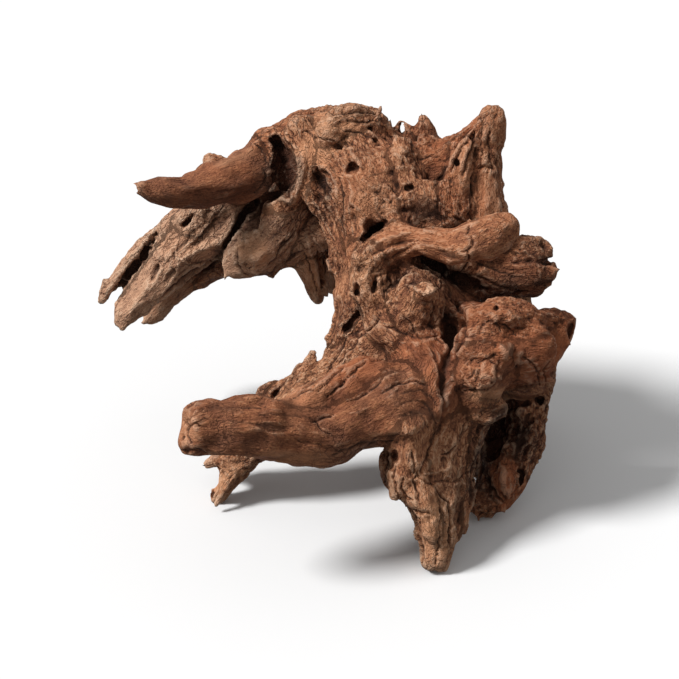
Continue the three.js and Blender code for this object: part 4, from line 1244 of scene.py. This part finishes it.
class Wire:
    """An output socket in a material. Sums of wires and numbers become Math nodes."""

    def __init__(self, tree, socket):
        self.tree, self.socket = tree, socket

    def math(self, operation, first, second):
        return node(self.tree, "ShaderNodeMath", {"operation": operation}, {0: first, 1: second})

    def __add__(self, other):
        return self.math("ADD", self, other)

    def __radd__(self, other):
        return self.math("ADD", other, self)

    def __sub__(self, other):
        return self.math("SUBTRACT", self, other)

    def __rsub__(self, other):
        return self.math("SUBTRACT", other, self)

    def __mul__(self, other):
        return self.math("MULTIPLY", self, other)

    def __rmul__(self, other):
        return self.math("MULTIPLY", other, self)

    def clamp(self):
        """Held between 0 and 1."""
        return node(self.tree, "ShaderNodeClamp", {}, {"Value": self})

    def ramp(self, low, high):
        """Rises smoothly from 0 at low to 1 at high."""
        return node(self.tree, "ShaderNodeMapRange", {"interpolation_type": "SMOOTHSTEP"},
                    {"Value": self, "From Min": low, "From Max": high})


def socket_of(sockets, key):
    """Finds a socket by its number, its identifier or its name, in this order."""
    if isinstance(key, int):
        return sockets[key]
    return next((socket for socket in sockets if socket.identifier == key), None) or sockets[key]


def node(tree, kind, settings, values, output=0):
    """Adds any node: first its settings, then the values or wires of its inputs."""
    made = tree.nodes.new(kind)
    for name, value in settings.items():
        setattr(made, name, value)
    for key, value in values.items():
        socket = socket_of(made.inputs, key)
        if isinstance(value, Wire):
            tree.links.new(value.socket, socket)
        else:
            socket.default_value = value
    return Wire(tree, socket_of(made.outputs, output))


def blend(tree, share, first, second):
    """Mixes two colours: the first where the share is 0, the second where it is 1."""
    return node(tree, "ShaderNodeMix", {"data_type": "RGBA", "clamp_factor": True},
                {"Factor_Float": share, "A_Color": first, "B_Color": second}, "Result_Color")


# %% [markdown]
# The wood's finish is dry and matt. Its colour runs from a dark red brown through orange brown to a pale
# tan, in streaks along the grain, and turns redder or greyer in large patches. Hollows, caves and splits are
# made nearly black, partly as dirt and partly as painted shade, and ridges are pale. The colour-only strokes
# add painted shade and painted light on top. The same streaks, finer than the mesh can hold, also drive a
# small bump, and the broader ones the roughness.

# %% Wood material
# red, green, blue and alpha
DARK = (0.085, 0.028, 0.015, 1)
BROWN = (0.25, 0.10, 0.052, 1)
ORANGE = (0.47, 0.20, 0.095, 1)
TAN = (0.66, 0.37, 0.22, 1)
PALE = (0.80, 0.58, 0.42, 1)
GREY = (0.25, 0.17, 0.12, 1)
BLEACHED = (0.60, 0.44, 0.33, 1)
# dirt with painted shade, for hollows, caves and splits
DIRT_AND_PAINTED_SHADE = (0.045, 0.022, 0.014, 1)
RUST = (0.38, 0.11, 0.042, 1)
# painted shade, laid on by the colour-only strokes
PAINTED_SHADE = (0.05, 0.024, 0.016, 1)
# painted light, laid on by the colour-only strokes where their value is below 0
PAINTED_LIGHT = (0.82, 0.41, 0.22, 1)

BENDS_PER_METRE, BEND = 180, 6 * MM  # bends the checks, which would look like tiles when straight
CHECKS_PER_METRE, CHECK_SQUEEZE = 190, 0.45  # small cracks across the grain
BUMP_HEIGHT = 2 * MM

material = bpy.data.materials.new("weathered_wood")
material.use_nodes = True
tree = material.node_tree
tree.nodes.clear()


def read(name, output="Fac"):
    """What an attribute says at each place of the skin."""
    return node(tree, "ShaderNodeAttribute", {"attribute_name": name}, {}, output)


def cloud(where, size, detail=3.0, stretch=1.0, rough=0.55):
    """Noise with lumps of about that size in metres, longer along the grain by the stretch."""
    scaled = node(tree, "ShaderNodeMapping", {}, {"Vector": where, "Scale": (1, 1, 1 / stretch)})
    return node(tree, "ShaderNodeTexNoise", {"noise_dimensions": "3D"},
                {"Vector": scaled, "Scale": 1 / size, "Detail": detail, "Roughness": rough})


grain = read("grain", "Vector")
where = node(tree, "ShaderNodeTexCoord", {}, {}, "Object")
hollow, broad, open_way = read("hollow"), read("broad"), read("open")
streak, split_mark = read("streak"), read("split")
rotten_mark, pale_mark, red_mark, painted_light_and_shade_mark = read("rotten"), read("pale"), read("red"), read("shade")

threads = cloud(grain, 1.1 * MM, 2.0, 8.0, 0.65) - 0.5
lines = cloud(grain, 4.2 * MM, 3.0, 12.0) - 0.5
specks = cloud(grain, 1.2 * MM, 2.0, 1.8, 0.7) - 0.5
crumbs = cloud(where, 3 * MM, 3.0, 1.0, 0.7) - 0.5
patch = cloud(where, 21 * MM, 3.0) - 0.5
drift = cloud(where, 60 * MM, 2.0) - 0.5
swirl = node(tree, "ShaderNodeTexNoise", {"noise_dimensions": "3D"},
             {"Vector": where, "Scale": BENDS_PER_METRE}, "Color")
bent = node(tree, "ShaderNodeVectorMath", {"operation": "MULTIPLY_ADD"},
            {0: swirl, 1: (BEND, BEND, BEND), 2: grain})
shrunk = node(tree, "ShaderNodeMapping", {}, {"Vector": bent, "Scale": (1, 1, CHECK_SQUEEZE)})
cells = node(tree, "ShaderNodeTexVoronoi", {"feature": "DISTANCE_TO_EDGE"},
             {"Vector": shrunk, "Scale": CHECKS_PER_METRE})
checks = (0.09 - cells).ramp(0, 0.08) * (drift * 3 + 0.25 + 0.4 * rotten_mark).clamp()
pinholes = (0 - specks - crumbs * 0.6).ramp(0.10, 0.30) * (0.35 + 0.65 * rotten_mark)

# the hollow and broad terms darken hollows: partly dirt, partly painted shade
tone = (0.40 + 0.45 * lines + 0.9 * threads + 0.05 * streak + 0.8 * patch
        + (0.5 + 1.3 * rotten_mark) * specks + 1.1 * rotten_mark * crumbs
        + 0.30 * pale_mark - 0.07 * hollow - 0.04 * broad)
redness = (red_mark * 0.85 + patch * 0.8 - hollow * 0.05).ramp(0.25, 1.0)
bleached = (pale_mark - 1.2 * red_mark).ramp(0.4, 1.0)
greyness = (drift * 1.6 + 0.25 - 0.5 * pale_mark - 0.4 * red_mark).ramp(0.1, 0.7)
closed = 1 - open_way
rubbed = (0 - hollow).ramp(0.5, 2.2)
# how much of each colour goes over the ones before it
LAYERS = [
    (tone.ramp(0.0, 0.42), BROWN),
    (tone.ramp(0.36, 0.70), ORANGE),
    (tone.ramp(0.55, 1.0), TAN),
    (tone.ramp(0.95, 1.4), PALE),
    (redness * 0.75, RUST),
    (bleached * 0.28, BLEACHED),
    (greyness * 0.45, GREY),
    (pinholes * 0.8, DARK),
    (checks * 0.8, DARK),
    # painted light, then painted shade, from the colour-only strokes
    ((0 - painted_light_and_shade_mark).clamp() * 0.6, PAINTED_LIGHT),
    (painted_light_and_shade_mark.clamp() * 0.92, PAINTED_SHADE),
    # caves, hollows and splits made dark: partly dirt, partly painted shade
    (closed.ramp(0.30, 0.95) * 0.85, DARK),
    (hollow.ramp(0.7, 2.3) * 0.65, DIRT_AND_PAINTED_SHADE),
    (closed.ramp(0.70, 0.97), DIRT_AND_PAINTED_SHADE),
    (split_mark * 0.7, DIRT_AND_PAINTED_SHADE),
    (rubbed * 0.20, PALE),
]
colour = DARK
for share, layer in LAYERS:
    colour = blend(tree, share, colour, layer)

roughness = (0.78 + 0.25 * lines - 0.06 * rubbed).clamp()
relief_height = (threads * 0.5 + lines * 0.6 + (0.4 + 1.3 * rotten_mark) * specks
                 + crumbs * 1.1 * rotten_mark - pinholes * 0.5 - checks * 0.6)
bump = node(tree, "ShaderNodeBump", {}, {"Strength": 1.0, "Distance": BUMP_HEIGHT, "Height": relief_height})
shader = node(tree, "ShaderNodeBsdfPrincipled", {}, {
    "Base Color": colour, "Roughness": roughness, "Normal": bump, "Specular IOR Level": 0.15})
surface = tree.nodes.new("ShaderNodeOutputMaterial").inputs["Surface"]
tree.links.new(shader.socket, surface)
wood.data.materials.clear()
wood.data.materials.append(material)
print("nodes in the material:", len(tree.nodes))

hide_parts("driftwood")
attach(wood, "root")

# %% [markdown]
# The picture shows the wood on plain white, in a soft light from above on the left, and a little from the
# front. A wide pale floor, a sun with a broad disc and a sky that is brighter above give the same. A white
# floor would send much light up under the wood, where the picture is dark, so its bounced light is left out.

# %% Floor and light
FLOOR = 12
FLOOR_COLOUR = (0.84, 0.84, 0.84, 1)
SUN_FROM = Vector((-1.15, -0.4, 1.5))
SUN_POWER = 3.5
SUN_WIDTH = 14  # degrees, so that shadows have a soft edge
SKY_LEAST, SKY_MORE = 0.10, 0.32

form = bmesh.new()
bmesh.ops.create_grid(form, x_segments=1, y_segments=1, size=FLOOR / 2)
floor = object_from(form, "floor")
floor_material = bpy.data.materials.new("floor")
floor_material.use_nodes = True
floor_shader = floor_material.node_tree.nodes["Principled BSDF"]
floor_shader.inputs["Base Color"].default_value = FLOOR_COLOUR
floor_shader.inputs["Roughness"].default_value = 0.9
floor.data.materials.append(floor_material)
floor.visible_diffuse = False

light = bpy.data.lights.new("key", "SUN")
light.energy = SUN_POWER
light.angle = math.radians(SUN_WIDTH)
lamp = bpy.data.objects.new("key", light)
lamp.location = SUN_FROM
lamp.rotation_mode = "QUATERNION"
lamp.rotation_quaternion = (AIM - SUN_FROM).to_track_quat("-Z", "Y")
bpy.context.scene.collection.objects.link(lamp)
world = bpy.data.worlds.new("studio")
world.use_nodes = True
sky = world.node_tree
direction = node(sky, "ShaderNodeTexCoord", {}, {}, "Generated")
upward = node(sky, "ShaderNodeSeparateXYZ", {}, {0: direction}, 2)
brightness = SKY_LEAST + SKY_MORE * upward.ramp(-0.25, 0.5)
sky.links.new(brightness.socket, sky.nodes["Background"].inputs["Strength"])
sky.nodes["Background"].inputs["Color"].default_value = (1, 1, 1, 1)
bpy.context.scene.world = world
bpy.context.scene.view_settings.view_transform = "Standard"
